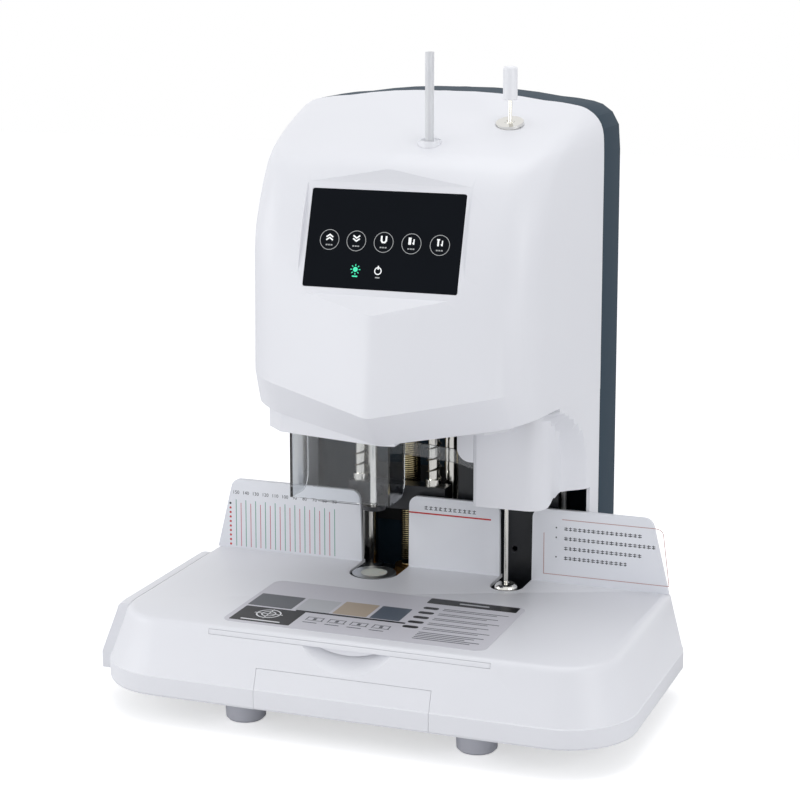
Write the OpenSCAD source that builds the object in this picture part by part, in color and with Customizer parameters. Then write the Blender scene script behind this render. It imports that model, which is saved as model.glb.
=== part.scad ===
// Desk riveting machine for documents: a drilling station on the left and a
// hot riveting station on the right, in one head above a drafted table.
// X to the right, Y to the back, Z up; Z = 0 is the desk top. Millimetres.

/* [Base] */
// Width of the table at its mid line
base_w = 470; // [440:1:500]
// From the head's front reference plane to the front of the table
base_front = 156; // [146:1:166]
// Where the table ends behind the fence
table_rear = 84; // [82:1:88]
// Height of the table top above the desk
table_z = 88; // [84:1:96]
// Height of the underside above the desk
base_z = 25; // [20:1:28]
// Height of the moulded line round the table
mid_z = 42; // [38:1:46]
// How far the upper walls lean in
draft_in = 17.6; // [12:0.2:20]
// Radius of the front corners at the mid line
corner_r = 62; // [52:1:72]
// Radius of the rear corners at the mid line
rear_r = 20; // [18.5:0.5:26]
// Rounding of the table's top edge
edge_r = 7; // [4:0.5:9]
// Wall of the mouldings
wall = 3; // [2:0.25:3.5]
// Thickness of the steel pan
pan_t = 1.5; // [1:0.25:2]
// Diameter of a rubber foot
foot_d = 36; // [26:1:40]
// Feet left and right of the centre
foot_x = 104; // [96:1:112]
// Front feet, in front of the reference plane
foot_front = 112; // [100:1:116]
// Rear feet, behind the reference plane
foot_rear = 138; // [130:1:142]
// How far the left side cover stands proud
side_proud = 10; // [6:0.5:14]

/* [Drawer and board] */
// Width of the chip drawer
drawer_w = 154; // [120:1:170]
// Top of the chip drawer's front
drawer_z = 58.8; // [54:0.2:60]
// Length of the drawer's tray
drawer_l = 215; // [190:1:225]
// Width of the pull-out board
board_w = 248; // [200:1:260]
// Thickness of the pull-out board
board_t = 3.8; // [3:0.1:4.4]
// Length of the pull-out board
board_l = 150; // [120:1:165]
// Width of the finger scoop under the board
scoop_w = 78; // [60:1:90]

/* [Stations] */
// Drilling station, left of the centre
drill_x = -48.5; // [-54:0.5:-44]
// Riveting station, right of the centre
rivet_x = 77; // [74:0.5:80]
// Both stations behind the reference plane
station_y = 48; // [44:0.5:50]
// Stroke of the drill
drill_travel = 59.4; // [50:0.2:59.6]
// Stroke of the rivet ram
rivet_travel = 84; // [70:0.5:84]
// Outside diameter of the hollow drill
drill_d = 6; // [4:0.5:8]
// Diameter of the guide rod
rod_d = 3.6; // [3:0.2:4.4]
// Diameter of the lower rivet head
dome_d = 21; // [18:0.5:24]
// Diameter of the cutting pad
pad_d = 24; // [18:1:28]

/* [Fence] */
// Height of the fence above the table
fence_h = 67; // [55:1:70]
// Thickness of the fence
fence_t = 4; // [3:0.25:5]
// Front face of the fence behind the reference plane
fence_y = 76; // [75:0.5:77]
// Gap for the drill arm
drill_gap = 46; // [42:1:48]
// Gap for the riveting station
rivet_gap = 30; // [26:1:31]

/* [Head] */
// Width of the head
head_w = 291; // [285:1:300]
// Highest point of the head's arch
head_top = 522; // [516:1:530]
// Lowest point of the prow's chamfer
chin_z = 236; // [234:1:238]
// Reach of the prow in front of the joint line
head_reach = 198; // [192:1:204]
// Joint between front and back cover
joint_y = 103; // [100:1:104]
// Back of the back cover
back_y = 165; // [163:1:172]
// Width of the panel glass
glass_w = 137; // [120:1:140]
// Height of the panel glass along its slope
glass_h = 83.5; // [70:0.5:85]
// Thickness of the panel glass
glass_t = 2.4; // [1.6:0.2:3]

/* [Mechanism] */
// Distance of columns and screws behind the reference plane
column_y = 116; // [115:0.5:118]
// Diameter of the guide columns
column_d = 16; // [12:0.5:16]
// Outside diameter of the lead screws
screw_d = 18; // [14:0.5:18]
// Lead screw of the drill carriage
drill_screw_x = -38; // [-39:0.5:-37]
// Drill columns left and right of their screw
drill_column_dx = 41; // [40:0.5:41.5]
// Rivet columns left and right of their screw
rivet_column_dx = 31; // [30:0.5:31]
// Thickness of the drill carriage
carriage_t = 12; // [10:0.5:14]
// Underside of the drill carriage at rest
carriage_z = 254; // [253:0.5:256]
// Underside of the rivet carriage at rest
ram_plate_z = 345; // [342:1:350]
// Underside of the top plate
top_plate_z = 430; // [426:1:434]
// Height of the beam of the presser
beam_h = 23; // [18:1:24]
// Diameter of the spring rods
spring_rod_d = 10; // [8:0.5:10]
// Wire of the presser springs
spring_wire = 1.5; // [1:0.1:1.8]
// Turns of a presser spring
spring_turns = 8; // [5:1:9]

/* [Hidden] */

fit = 0.3;                        // gap between pieces that slide or lift past each other
run = 0.05;                       // radial gap of a shaft in its bore
base_half = base_w / 2;
pan_top = base_z + pan_t;
table_under = table_z - wall;
frame_z = 60;                     // underside of the frame plate, above the drawer
frame_t = 8;
frame_top = frame_z + frame_t;
column_half = head_w / 2;
cover_bottom = base_z + 3;
plate_t = 8;                      // top plate
beam_y0 = table_rear + 2;         // the beam passes behind the table's edge
beam_y1 = beam_y0 + 17;
rod_y = beam_y0 + 9;              // spring rods on the beam's centre line
foot_z = table_z + fit + drill_travel; // underside of the presser foot at rest
beam_z = foot_z - 9;
drill_tip = foot_z + fit;
rod_left = drill_screw_x - drill_column_dx;
rod_right = drill_screw_x + 30;
ram_tip = table_z + 5.6 + rivet_travel;
pulley_h = 10;
pulley_z = carriage_z - 3 - pulley_h;
chuck_z = pulley_z - 24;
motor_x = drill_x + 52.5;
motor_y = station_y + 14;
pulley_r = 11;
sleeve_z = ram_tip + 20;
bracket_z = 238;
bracket_t = 12;
tube_x = 22;
tube_y = -2;
tube_d = 7.6;
handle_z = 519.5;
$fn = 48;

// ---- moving the whole object so that its box is centred on the origin ----
box_left = -base_half - side_proud;
centre_x = -(box_left + base_half) / 2;
centre_y = (base_front - back_y) / 2;
module place() translate([centre_x, centre_y, 0]) children();

// ---- lofting ----
// A closed skin over rings that all have the same number of points; each end
// is closed by a fan round the ring's own middle.
function mean(r) = [for (a = [0:2]) let (s = [for (p = r) p[a]]) sum(s) / len(s)];
function sum(v, i = 0) = i < len(v) ? v[i] + sum(v, i + 1) : 0;
module loft(rings) {
    n = len(rings[0]);
    m = len(rings);
    pts = concat([for (r = rings) for (p = r) p], [mean(rings[0]), mean(rings[m - 1])]);
    sides = [for (j = [0:m - 2]) for (i = [0:n - 1]) let (k = (i + 1) % n)
        each [[j * n + i, (j + 1) * n + i, j * n + k], [j * n + k, (j + 1) * n + i, (j + 1) * n + k]]];
    low = [for (i = [0:n - 1]) [n * m, i, (i + 1) % n]];
    high = [for (i = [0:n - 1]) [n * m + 1, n * (m - 1) + (i + 1) % n, n * (m - 1) + i]];
    polyhedron(points = pts, faces = concat(sides, low, high));
}

// ---- table outline ----
// Rounded rectangle, front corners large and rear corners small, as a ring.
function arc(cx, cy, r, a0, a1, n) = [for (i = [0:n]) let (a = a0 + (a1 - a0) * i / n)
    [cx + r * cos(a), cy + r * sin(a)]];
function table_ring(inset, z, n = 9) = let (
        h = base_half - inset, f = -base_front + inset, b = table_rear,
        rf = max(corner_r - inset, 4), rb = max(rear_r - inset, 2))
    [for (p = concat(
        arc(-h + rf, f + rf, rf, 180, 270, n), arc(h - rf, f + rf, rf, 270, 360, n),
        arc(h - rb, b - rb, rb, 0, 90, 3), arc(-h + rb, b - rb, rb, 90, 180, 3))) [p[0], p[1], z]];
// Distance that the wall leans in at a height, with the rounded top edge.
function lean(z) = z <= mid_z ? 0 : draft_in * (z - mid_z) / (table_z - mid_z);
function edge_rings(t) = [for (a = [0:22.5:90])
    table_ring(lean(table_z - edge_r) + t + edge_r * (1 - cos(a)) * 0.9, table_z - t - edge_r * (1 - sin(a)))];
module table_solid(t = 0) {
    loft(concat([table_ring(t + 1.2, base_z - (t > 0 ? 1 : 0)), table_ring(t, base_z + 2), table_ring(t, mid_z),
        table_ring(t + 1, mid_z + 0.8)], edge_rings(t)));
}
// The two notches behind the stations, open to the rear.
module notch(x, w, front, h) {
    translate([x, front + w / 2, -1]) cylinder(d = w, h = h + 2);
    translate([x - w / 2, front + w / 2, -1]) cube([w, table_rear + 20 - front - w / 2, h + 2]);
}
drill_notch_front = station_y - 22;
rivet_notch_front = station_y - 12.5;

// A ball that hollows the front wall under the board, scoop_w wide.
scoop_deep = 14;
scoop_drop = 14.5;
scoop_ring = (pow(scoop_w / 2, 2) + pow(scoop_deep, 2)) / (2 * scoop_deep);
scoop_rise = (pow(scoop_w / 2, 2) - pow(scoop_drop, 2)) / (2 * scoop_drop);
board_low = table_under - fit - board_t;
module scoop_ball(t = 0) {
    intersection() {
        translate([0, -base_front + lean(board_low) - scoop_ring + scoop_deep, board_low - fit + scoop_rise])
            sphere(r = norm([scoop_ring, scoop_rise]) + t, $fn = 96);
        translate([-scoop_w, -base_front - 1, mid_z]) cube([2 * scoop_w, 60, board_low - fit - mid_z]);
    }
}
module board_blank() {
    translate([-board_w / 2, -base_front, board_low]) cube([board_w, board_l, board_t]);
}

module base_cover() color("whitesmoke") difference() {
    table_solid();
    difference() {
        intersection() {
            table_solid(wall);
            translate([-300, -300, 0]) cube([600, 600, table_under]);
        }
        // screw bosses for the pan
        for (x = [-1, 1]) for (y = [-base_front + 34, table_rear - 16])
            translate([x * (base_half - 62), y, base_z + pan_t]) cylinder(d = 9, h = table_z, $fn = 24);
        // wall behind the finger scoop
        scoop_ball(2.4);
    }
    // front opening for the chip drawer
    translate([-drawer_w / 2 - fit, -base_front - 1, base_z - 1])
        cube([drawer_w + 2 * fit, 12 + draft_in, drawer_z + fit - base_z + 1]);
    // slot for the pull-out board
    translate([-board_w / 2 - fit, -base_front - 1, table_under - 2 * fit - board_t])
        cube([board_w + 2 * fit, 16 + draft_in, board_t + 2 * fit]);
    scoop_ball();
    translate([0, 0, table_z - 12]) notch(drill_x, drill_gap, drill_notch_front, 14);
    translate([0, 0, table_z - 12]) notch(rivet_x, rivet_gap, rivet_notch_front, 14);
    // open rear under the fence
    translate([-column_half + 10, table_rear - wall - 1, base_z - 1])
        cube([head_w - 20, wall + 2, table_z - base_z - 3]);
    // pilot holes for the fence screws
    for (x = fence_screw_x) translate([x, fence_y + fence_t + 2, table_z - 6]) cylinder(d = 2.6, h = 8, $fn = 16);
}

module base_pan() color("silver") difference() {
    union() {
        translate([0, 0, base_z]) linear_extrude(pan_t) union() {
            polygon([for (p = table_ring(wall + 1.6, 0, 6)) [p[0], p[1]]]);
            translate([-column_half + wall + 1, table_rear - 20])
                square([head_w - 2 * wall - 2, back_y - wall - 1 - table_rear + 20]);
        }
        // folded edges beside the drawer, which guide it
        for (x = [-drawer_w / 2 - 3, drawer_w / 2 + 1]) translate([x, -base_front + 24, pan_top - 0.5])
            cube([2, drawer_l - 30, 14.5]);
    }
    // open under the drawer's front, so that the front reaches the edge
    translate([-drawer_w / 2 - fit, -base_front - 1, base_z - 1]) cube([drawer_w + 2 * fit, 14, pan_t + 2]);
    for (x = [-foot_x, foot_x]) for (y = [-foot_front, foot_rear])
        translate([x, y, base_z - 1]) cylinder(d = 4.2, h = pan_t + 2, $fn = 24);
    // cooling slots
    for (i = [0:7]) translate([-70 + 20 * i, table_rear - 44, base_z - 1]) cube([4, 36, pan_t + 2]);
}

module feet() color("dimgray") for (x = [-foot_x, foot_x]) for (y = [-foot_front, foot_rear])
    translate([x, y, 0]) difference() {
        rotate_extrude($fn = 48) polygon([[0, 0], [foot_d / 2 - 3, 0], [foot_d / 2 - 1, 2],
            [foot_d / 2, base_z - 5], [foot_d / 2, base_z], [0, base_z]]);
        translate([0, 0, -1]) cylinder(d = 11, h = 9, $fn = 24);
        translate([0, 0, -1]) cylinder(d = 4.4, h = base_z + 2, $fn = 24);
    }

module foot_screws() color("silver") for (x = [-foot_x, foot_x]) for (y = [-foot_front, foot_rear])
    translate([x, y, 0]) {
        translate([0, 0, 5.2]) cylinder(d = 8, h = 2.8, $fn = 24);
        translate([0, 0, 8]) cylinder(d = 3.9, h = pan_top - 5, $fn = 24);
        translate([0, 0, pan_top]) cylinder(d = 8, h = 3, $fn = 6);
    }

side_y0 = -base_front + 48;
side_y1 = table_rear - 26;
// The table's outline moved out by d.
module side_solid(d) translate([0, 0, -1]) loft(concat([table_ring(-d, base_z + 2), table_ring(-d, mid_z)],
    [for (a = [0:30:90]) table_ring(lean(table_z - edge_r) - d + edge_r * (1 - cos(a)), table_z - edge_r * (1 - sin(a)))]));
module side_cover() color("whitesmoke") difference() {
    intersection() {
        side_solid(side_proud);
        translate([-base_half - side_proud - 1, side_y0, base_z]) cube([side_proud + 40, side_y1 - side_y0, table_z]);
    }
    table_solid(-0.15);
    translate([-base_half + draft_in + 8, -400, 0]) cube([800, 800, 200]);
    // hollow behind its face, with three ribs
    difference() {
        intersection() {
            side_solid(side_proud - wall);
            translate([-base_half - side_proud, side_y0 + wall, base_z + 2 + wall])
                cube([side_proud + 40, side_y1 - side_y0 - 2 * wall, table_z - base_z - 6 - 2 * wall]);
        }
        for (i = [1:3]) translate([-base_half - side_proud, side_y0 + (side_y1 - side_y0) * i / 4 - 1, base_z])
            cube([side_proud + 40, 2, table_z]);
    }
}

// ---- fence ----
fence_top = table_z + fence_h;
fence_taper = 14;
fence_half = base_half - draft_in;
fence_screw_x = [-fence_half + 30, -fence_half + 100, 22, fence_half - 85, fence_half - 20];
module fence_panel(x0, x1, t0 = 0, t1 = 0) {
    // an upright with rounded top corners; t0 and t1 draw its ends in
    r = 9;
    translate([0, fence_y + fence_t, table_z]) rotate([90, 0, 0]) linear_extrude(fence_t) hull() {
        translate([x0, 0]) square([x1 - x0, 1]);
        translate([x0 + t0 + r, fence_h - r]) circle(r = r, $fn = 32);
        translate([x1 - t1 - r, fence_h - r]) circle(r = r, $fn = 32);
    }
}
module paper_fence() color("white") difference() {
    union() {
        fence_panel(-fence_half, drill_x - drill_gap / 2, fence_taper, 1.5);
        fence_panel(drill_x + drill_gap / 2, rivet_x - rivet_gap / 2, 0.5, 0.5);
        fence_panel(rivet_x + rivet_gap / 2, fence_half, 0.5, fence_taper);
        // foot flange behind the uprights
        for (s = [[-fence_half + 6, drill_x - drill_gap / 2 - 1], [drill_x + drill_gap / 2 + 1, rivet_x - rivet_gap / 2 - 1],
                  [rivet_x + rivet_gap / 2 + 1, fence_half - 6]])
            translate([s[0], fence_y + fence_t - 0.5, table_z]) cube([s[1] - s[0], table_rear - fence_y - fence_t, 2.5]);
    }
    for (x = fence_screw_x) translate([x, fence_y + fence_t + 2, table_z - 1]) cylinder(d = 2.8, h = 6, $fn = 16);
}
module fence_screws() color("silver") for (x = fence_screw_x)
    translate([x, fence_y + fence_t + 2, table_z - 5]) cylinder(d = 2.4, h = 7.4, $fn = 16);

// ---- chip drawer and pull-out board ----
tray_t = 2;
tray_z = pan_top + 0.5;
module chip_drawer() color("whitesmoke") {
    difference() {
        union() {
            // front plate, which carries on the table's outer face
            intersection() {
                table_solid();
                translate([-drawer_w / 2, -base_front - 1, base_z + 0.3]) cube([drawer_w, 9, drawer_z - base_z - 0.3]);
            }
            translate([-drawer_w / 2, -base_front + 7, tray_z]) cube([drawer_w, drawer_l - 7, drawer_z - 3 - tray_z]);
        }
        translate([-drawer_w / 2 + tray_t, -base_front + 11, tray_z + tray_t])
            cube([drawer_w - 2 * tray_t, drawer_l - 11 - tray_t, drawer_z]);
    }
}

board_front = -base_front + lean(board_low);
module support_board() color("whitesmoke") {
    intersection() {
        board_blank();
        table_solid();
    }
    // finger lip that hangs into the scoop
    translate([0, board_front + 5.5, board_low + 0.5]) rotate([90, 0, 0]) linear_extrude(3) intersection() {
        translate([0, scoop_w * 0.9 - 5.5]) circle(r = scoop_w * 0.9, $fn = 96);
        translate([-scoop_w / 2 + 8, -6]) square([scoop_w - 16, 6]);
    }
}

rail_y0 = -base_front + 34;
module board_rails() color("gainsboro") for (s = [0, 1]) mirror([s, 0, 0]) difference() {
    translate([board_w / 2 - 4, rail_y0, board_low - fit - 2])
        cube([8, board_l - 34, table_under - board_low + fit + 2]);
    translate([board_w / 2 - 5, rail_y0 - 1, board_low - fit])
        cube([5 + fit, board_l - 32, table_under - board_low + fit + 1]);
}

// ---- what the two stations stand on ----
module pad_holder() color("dimgray") translate([drill_x, station_y, frame_top]) difference() {
    cylinder(d = pad_d + 16, h = table_z - frame_top, $fn = 64);
    translate([0, 0, table_z - frame_top - 8]) cylinder(d = pad_d + 2 * run, h = 9, $fn = 64);
    translate([0, 0, -1]) cylinder(d = 8, h = 20, $fn = 32);
}
module cutting_pad() color("ivory") translate([drill_x, station_y, table_z - 8])
    cylinder(d = pad_d, h = 8, $fn = 64);

heater_w = 34;
heater_h = 8;
module lower_heater() color("silver") translate([rivet_x, station_y, frame_top]) difference() {
    translate([-heater_w / 2, -heater_w / 2, 0]) cube([heater_w, heater_w, heater_h]);
    // two cartridges run through from the right
    for (y = [-11, 11]) translate([-heater_w / 2 - 1, y, heater_h / 2]) rotate([0, 90, 0])
        cylinder(d = 5, h = heater_w + 2, $fn = 24);
}
dome_rise = 4;
module lower_rivet_head() color("silver") translate([rivet_x, station_y, frame_top + heater_h]) difference() {
    rotate_extrude($fn = 64) polygon(concat([[0, 0], [dome_d / 2 + 2, 0], [dome_d / 2 + 2, 3], [dome_d / 2, 3]],
        [for (a = [0:15:75]) [dome_d / 2 - 5 + 5 * cos(a), table_z - frame_top - heater_h - 1 + (dome_rise + 1) * sin(a)]],
        [[rod_d / 2 + 1.5, table_z - frame_top - heater_h + dome_rise], [0, table_z - frame_top - heater_h + dome_rise - 1.2]]));
    translate([0, 0, -1]) cylinder(d = rod_d + 0.2, h = 40, $fn = 32);
}

// ---- frame, columns and lead screws ----
frame_x0 = -128;
frame_x1 = 132;
frame_y0 = 22;
frame_y1 = 140;
drill_column_x = [drill_screw_x - drill_column_dx, drill_screw_x + drill_column_dx];
rivet_column_x = [rivet_x - rivet_column_dx, rivet_x + rivet_column_dx];
column_x = concat(drill_column_x, rivet_column_x);
screw_x = [drill_screw_x, rivet_x];
module main_frame() color("slategray") difference() {
    union() {
        translate([frame_x0, frame_y0, frame_z]) cube([frame_x1 - frame_x0, frame_y1 - frame_y0, frame_t]);
        // legs down to the pan, left and right of the drawer
        for (x = [frame_x0 + 2, frame_x1 - 18]) for (y = [frame_y0 + 2, frame_y1 - 24])
            translate([x, y, pan_top]) cube([16, 22, frame_z - pan_top]);
        // turned seats for the columns
        for (x = column_x) translate([x, column_y, frame_z]) cylinder(d = column_d + 8, h = frame_t + 7);
    }
    for (x = column_x) translate([x, column_y, frame_z + 2]) cylinder(d = column_d + 2 * run, h = frame_t + 12);
    for (x = screw_x) translate([x, column_y, frame_z - 1]) cylinder(d = 14, h = frame_t + 2);
    // lightening holes
    for (x = [-100, -9, 32, 112]) translate([x, 82, frame_z - 1]) cylinder(d = 16, h = frame_t + 2);
    translate([rivet_x, station_y, frame_z - 1]) cylinder(d = 6, h = frame_t + 2, $fn = 24);
    translate([drill_x, station_y, frame_z - 1]) cylinder(d = 8, h = frame_t + 2, $fn = 24);
}

stud_d = 10;
module column(x) translate([x, column_y, 0]) {
    translate([0, 0, frame_z + 2]) cylinder(d = column_d, h = top_plate_z - frame_z - 2);
    translate([0, 0, top_plate_z]) cylinder(d = stud_d, h = plate_t + 11, $fn = 32);
}
module drill_columns() color("silver") for (x = drill_column_x) column(x);
module rivet_columns() color("silver") for (x = rivet_column_x) column(x);

module top_plate() color("slategray") difference() {
    translate([drill_column_x[0] - 16, column_y - 32, top_plate_z]) linear_extrude(plate_t) offset(r = 8)
        translate([8, 8]) square([rivet_column_x[1] - drill_column_x[0] + 16, 50]);
    for (x = column_x) translate([x, column_y, top_plate_z - 1]) cylinder(d = stud_d + 2 * run, h = plate_t + 2, $fn = 32);
    for (x = screw_x) translate([x, column_y, top_plate_z - 1]) cylinder(d = 14, h = plate_t + 2);
}
module column_nuts() color("silver") for (x = column_x) translate([x, column_y, top_plate_z + plate_t]) difference() {
    cylinder(d = 18.5, h = 8, $fn = 6);
    translate([0, 0, -1]) cylinder(d = stud_d + 2 * run, h = 10, $fn = 32);
}

journal_d = 12;
bearing_h = 10;
module bearing_ring() difference() {
    union() {
        cylinder(d = 30, h = bearing_h);
        cylinder(d = 36, h = 3);
    }
    translate([0, 0, -1]) cylinder(d = journal_d + 2 * run, h = bearing_h + 2);
}
module foot_bearings() color("gold") for (x = screw_x) translate([x, column_y, frame_top]) bearing_ring();
module head_bearings() color("gold") for (x = screw_x) translate([x, column_y, top_plate_z]) mirror([0, 0, 1])
    bearing_ring();

module lead_screw(x) translate([x, column_y, 0]) {
    thread_z0 = frame_top + bearing_h + 0.5;
    thread_z1 = top_plate_z - bearing_h - 0.5;
    translate([0, 0, frame_z + 1]) cylinder(d = journal_d, h = thread_z0 - frame_z - 1);
    translate([0, 0, thread_z0]) cylinder(d = screw_d, h = thread_z1 - thread_z0);
    translate([0, 0, thread_z1]) cylinder(d = journal_d, h = top_plate_z + plate_t - 1 - thread_z1);
    translate([0, 0, top_plate_z + plate_t - 1]) cylinder(d = 8, h = 30, $fn = 32);
}
module drill_screw() color("darkgoldenrod") lead_screw(drill_screw_x);
module rivet_screw() color("darkgoldenrod") lead_screw(rivet_x);

motor_w = 42;
module lift_motor(x) translate([x, column_y, top_plate_z + plate_t]) difference() {
    union() {
        translate([0, 0, 4]) linear_extrude(motor_w - 12) offset(delta = 4, chamfer = true)
            square(motor_w - 8, center = true);
        linear_extrude(4) offset(r = 3) square(motor_w - 6, center = true);
        translate([0, 0, motor_w - 8]) linear_extrude(8) offset(r = 3) square(motor_w - 6, center = true);
    }
    translate([0, 0, -1]) cylinder(d = 8 + 2 * run, h = 32, $fn = 32);
}
module drill_lift_motor() color("dimgray") lift_motor(drill_screw_x);
module rivet_lift_motor() color("dimgray") lift_motor(rivet_x);

// ---- drill carriage ----
carriage_top = carriage_z + carriage_t;
bush_d = 24;
bush_low = 8;
bush_high = 20;
nut_d = 26;
spindle_d = 12;
module drill_carriage() color("slategray") difference() {
    translate([0, 0, carriage_z]) linear_extrude(carriage_t) polygon([
        [drill_column_x[0] - 16, 64], [drill_x - 24, 30], [motor_x + 8, 30], [motor_x + 23, 42],
        [motor_x + 23, 83], [drill_column_x[1] + 13, 87], [drill_column_x[1] + 13, column_y + 16],
        [drill_column_x[0] - 16, column_y + 16]]);
    translate([drill_x, station_y, carriage_z - 1]) cylinder(d = spindle_d + 1, h = carriage_t + 2);
    translate([motor_x, motor_y, carriage_z - 1]) cylinder(d = 8, h = carriage_t + 2, $fn = 32);
    for (x = drill_column_x) translate([x, column_y, carriage_z - 1]) cylinder(d = bush_d + 2 * run, h = carriage_t + 2);
    translate([drill_screw_x, column_y, carriage_z - 1]) cylinder(d = nut_d + 2 * run, h = carriage_t + 2);
    for (x = [rod_left, rod_right]) translate([x, rod_y, carriage_z - 1])
        cylinder(d = spring_rod_d + 2 * run, h = carriage_t + 2, $fn = 32);
}
module bush(x, z, t) translate([x, column_y, z]) difference() {
    union() {
        translate([0, 0, -bush_low]) cylinder(d = bush_d, h = bush_low + t + bush_high);
        translate([0, 0, t]) cylinder(d = bush_d + 2, h = 4);
    }
    translate([0, 0, -bush_low - 1]) cylinder(d = column_d + 2 * run, h = bush_low + t + bush_high + 2);
}
module drill_bushes() color("gold") for (x = drill_column_x) bush(x, carriage_z, carriage_t);
module screw_nut(x, z, t) translate([x, column_y, z]) difference() {
    union() {
        translate([0, 0, -4]) cylinder(d = nut_d, h = t + 18);
        translate([0, 0, t]) cylinder(d = nut_d + 10, h = 6);
    }
    translate([0, 0, -5]) cylinder(d = screw_d + 2 * run, h = t + 22);
}
module drill_nut() color("gold") screw_nut(drill_screw_x, carriage_z, carriage_t);

housing_h = 30;
module spindle_housing() color("lightgray") translate([drill_x, station_y, carriage_top]) difference() {
    union() {
        cylinder(d = 30, h = housing_h);
        cylinder(d = 42, h = 5);
    }
    translate([0, 0, -1]) cylinder(d = spindle_d + 2 * run, h = housing_h + 2);
}
module spindle_motor() color("dimgray") translate([motor_x, motor_y, carriage_top]) difference() {
    union() {
        cylinder(d = 42, h = 58);
        translate([0, 0, 58]) cylinder(d = 16, h = 6);
    }
    translate([0, 0, -1]) cylinder(d = 6 + 2 * run, h = 16, $fn = 32);
    // cooling slots at the top
    for (a = [0:60:300]) rotate([0, 0, a]) translate([12, -2, 52]) cube([12, 4, 3]);
}
module pulley() {
    cylinder(r = pulley_r, h = pulley_h);
    cylinder(r = pulley_r + 2, h = 1.2);
    translate([0, 0, pulley_h - 1.2]) cylinder(r = pulley_r + 2, h = 1.2);
}
module motor_pulley() color("silver") translate([motor_x, motor_y, pulley_z]) {
    pulley();
    cylinder(d = 6, h = carriage_top + 12 - pulley_z, $fn = 32);
}
belt_t = 1.3;
belt_span = norm([motor_x - drill_x, motor_y - station_y]);
module belt_loop(r, z, h) {
    translate([0, 0, z]) cylinder(r = r, h = h);
    translate([belt_span, 0, z]) cylinder(r = r, h = h);
    translate([0, -r, z]) cube([belt_span, 2 * r, h]);
}
module drive_belt() color("black") translate([drill_x, station_y, pulley_z])
    rotate([0, 0, atan2(motor_y - station_y, motor_x - drill_x)]) difference() {
        belt_loop(pulley_r + run + belt_t, 1.6, pulley_h - 3.2);
        belt_loop(pulley_r + run, 1, pulley_h - 2);
    }
chuck_h = pulley_z - 1 - chuck_z;
module spindle() color("silver") translate([drill_x, station_y, 0]) difference() {
    union() {
        translate([0, 0, chuck_z]) rotate_extrude($fn = 48) polygon([[0, 0], [7, 0], [10.5, 6], [11, 8],
            [11, chuck_h - 2], [9, chuck_h], [0, chuck_h]]);
        translate([0, 0, chuck_z + chuck_h - 1]) cylinder(d = spindle_d, h = carriage_top + housing_h + 5 - chuck_z - chuck_h + 1);
        translate([0, 0, pulley_z]) pulley();
        translate([0, 0, carriage_top + housing_h + 0.4]) cylinder(d = 20, h = 5);
    }
    translate([0, 0, chuck_z - 1]) cylinder(d = drill_d + 2 * run, h = chuck_h - 4, $fn = 32);
    translate([0, 0, chuck_z - 1]) cylinder(d = drill_d - 1.6, h = 120, $fn = 32);
}
module hollow_drill() color("silver") translate([drill_x, station_y, 0]) difference() {
    union() {
        translate([0, 0, drill_tip + 2]) cylinder(d = drill_d, h = chuck_z + chuck_h - 6 - drill_tip - 2, $fn = 32);
        // cutting edge, ground to a sharp ring
        translate([0, 0, drill_tip]) cylinder(d1 = drill_d - 1.2, d2 = drill_d, h = 2, $fn = 32);
    }
    translate([0, 0, drill_tip - 1]) cylinder(d = drill_d - 1.6, h = 120, $fn = 32);
}

// ---- presser ----
foot_t = 4;
arm_w = 16;
module presser_beam() color("black") difference() {
    union() {
        translate([rod_left - 9, beam_y0, beam_z]) cube([rod_right - rod_left + 23, beam_y1 - beam_y0, beam_h]);
        translate([drill_x - arm_w / 2, station_y, foot_z]) cube([arm_w, beam_y0 - station_y + 1, foot_t]);
        // ribs that stiffen the arm
        for (x = [-arm_w / 2, arm_w / 2 - 2]) translate([drill_x + x, 84, foot_z]) rotate([90, 0, 90])
            linear_extrude(2) polygon([[-18, foot_t - 0.5], [3, foot_t - 0.5], [3, 13]]);
        translate([drill_x, station_y, foot_z]) cylinder(d = 21, h = foot_t);
    }
    translate([drill_x, station_y, foot_z - 1]) cylinder(d = drill_d + 2, h = foot_t + 2, $fn = 32);
    for (x = [rod_left, rod_right]) translate([x, rod_y, beam_z + 8]) cylinder(d = spring_rod_d + 2 * run, h = beam_h, $fn = 32);
}
collar_h = 6;
collar_z = beam_z + beam_h;
rod_head_z = carriage_top + 0.2;
module spring_rods() color("silver") for (x = [rod_left, rod_right]) translate([x, rod_y, 0]) {
    translate([0, 0, beam_z + 8]) cylinder(d = spring_rod_d, h = rod_head_z - beam_z - 8 + 1, $fn = 32);
    translate([0, 0, collar_z + 0.1]) cylinder(d = spring_rod_d + 5, h = collar_h, $fn = 32);
    translate([0, 0, rod_head_z]) cylinder(d = spring_rod_d + 4, h = 6, $fn = 6);
}
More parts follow.
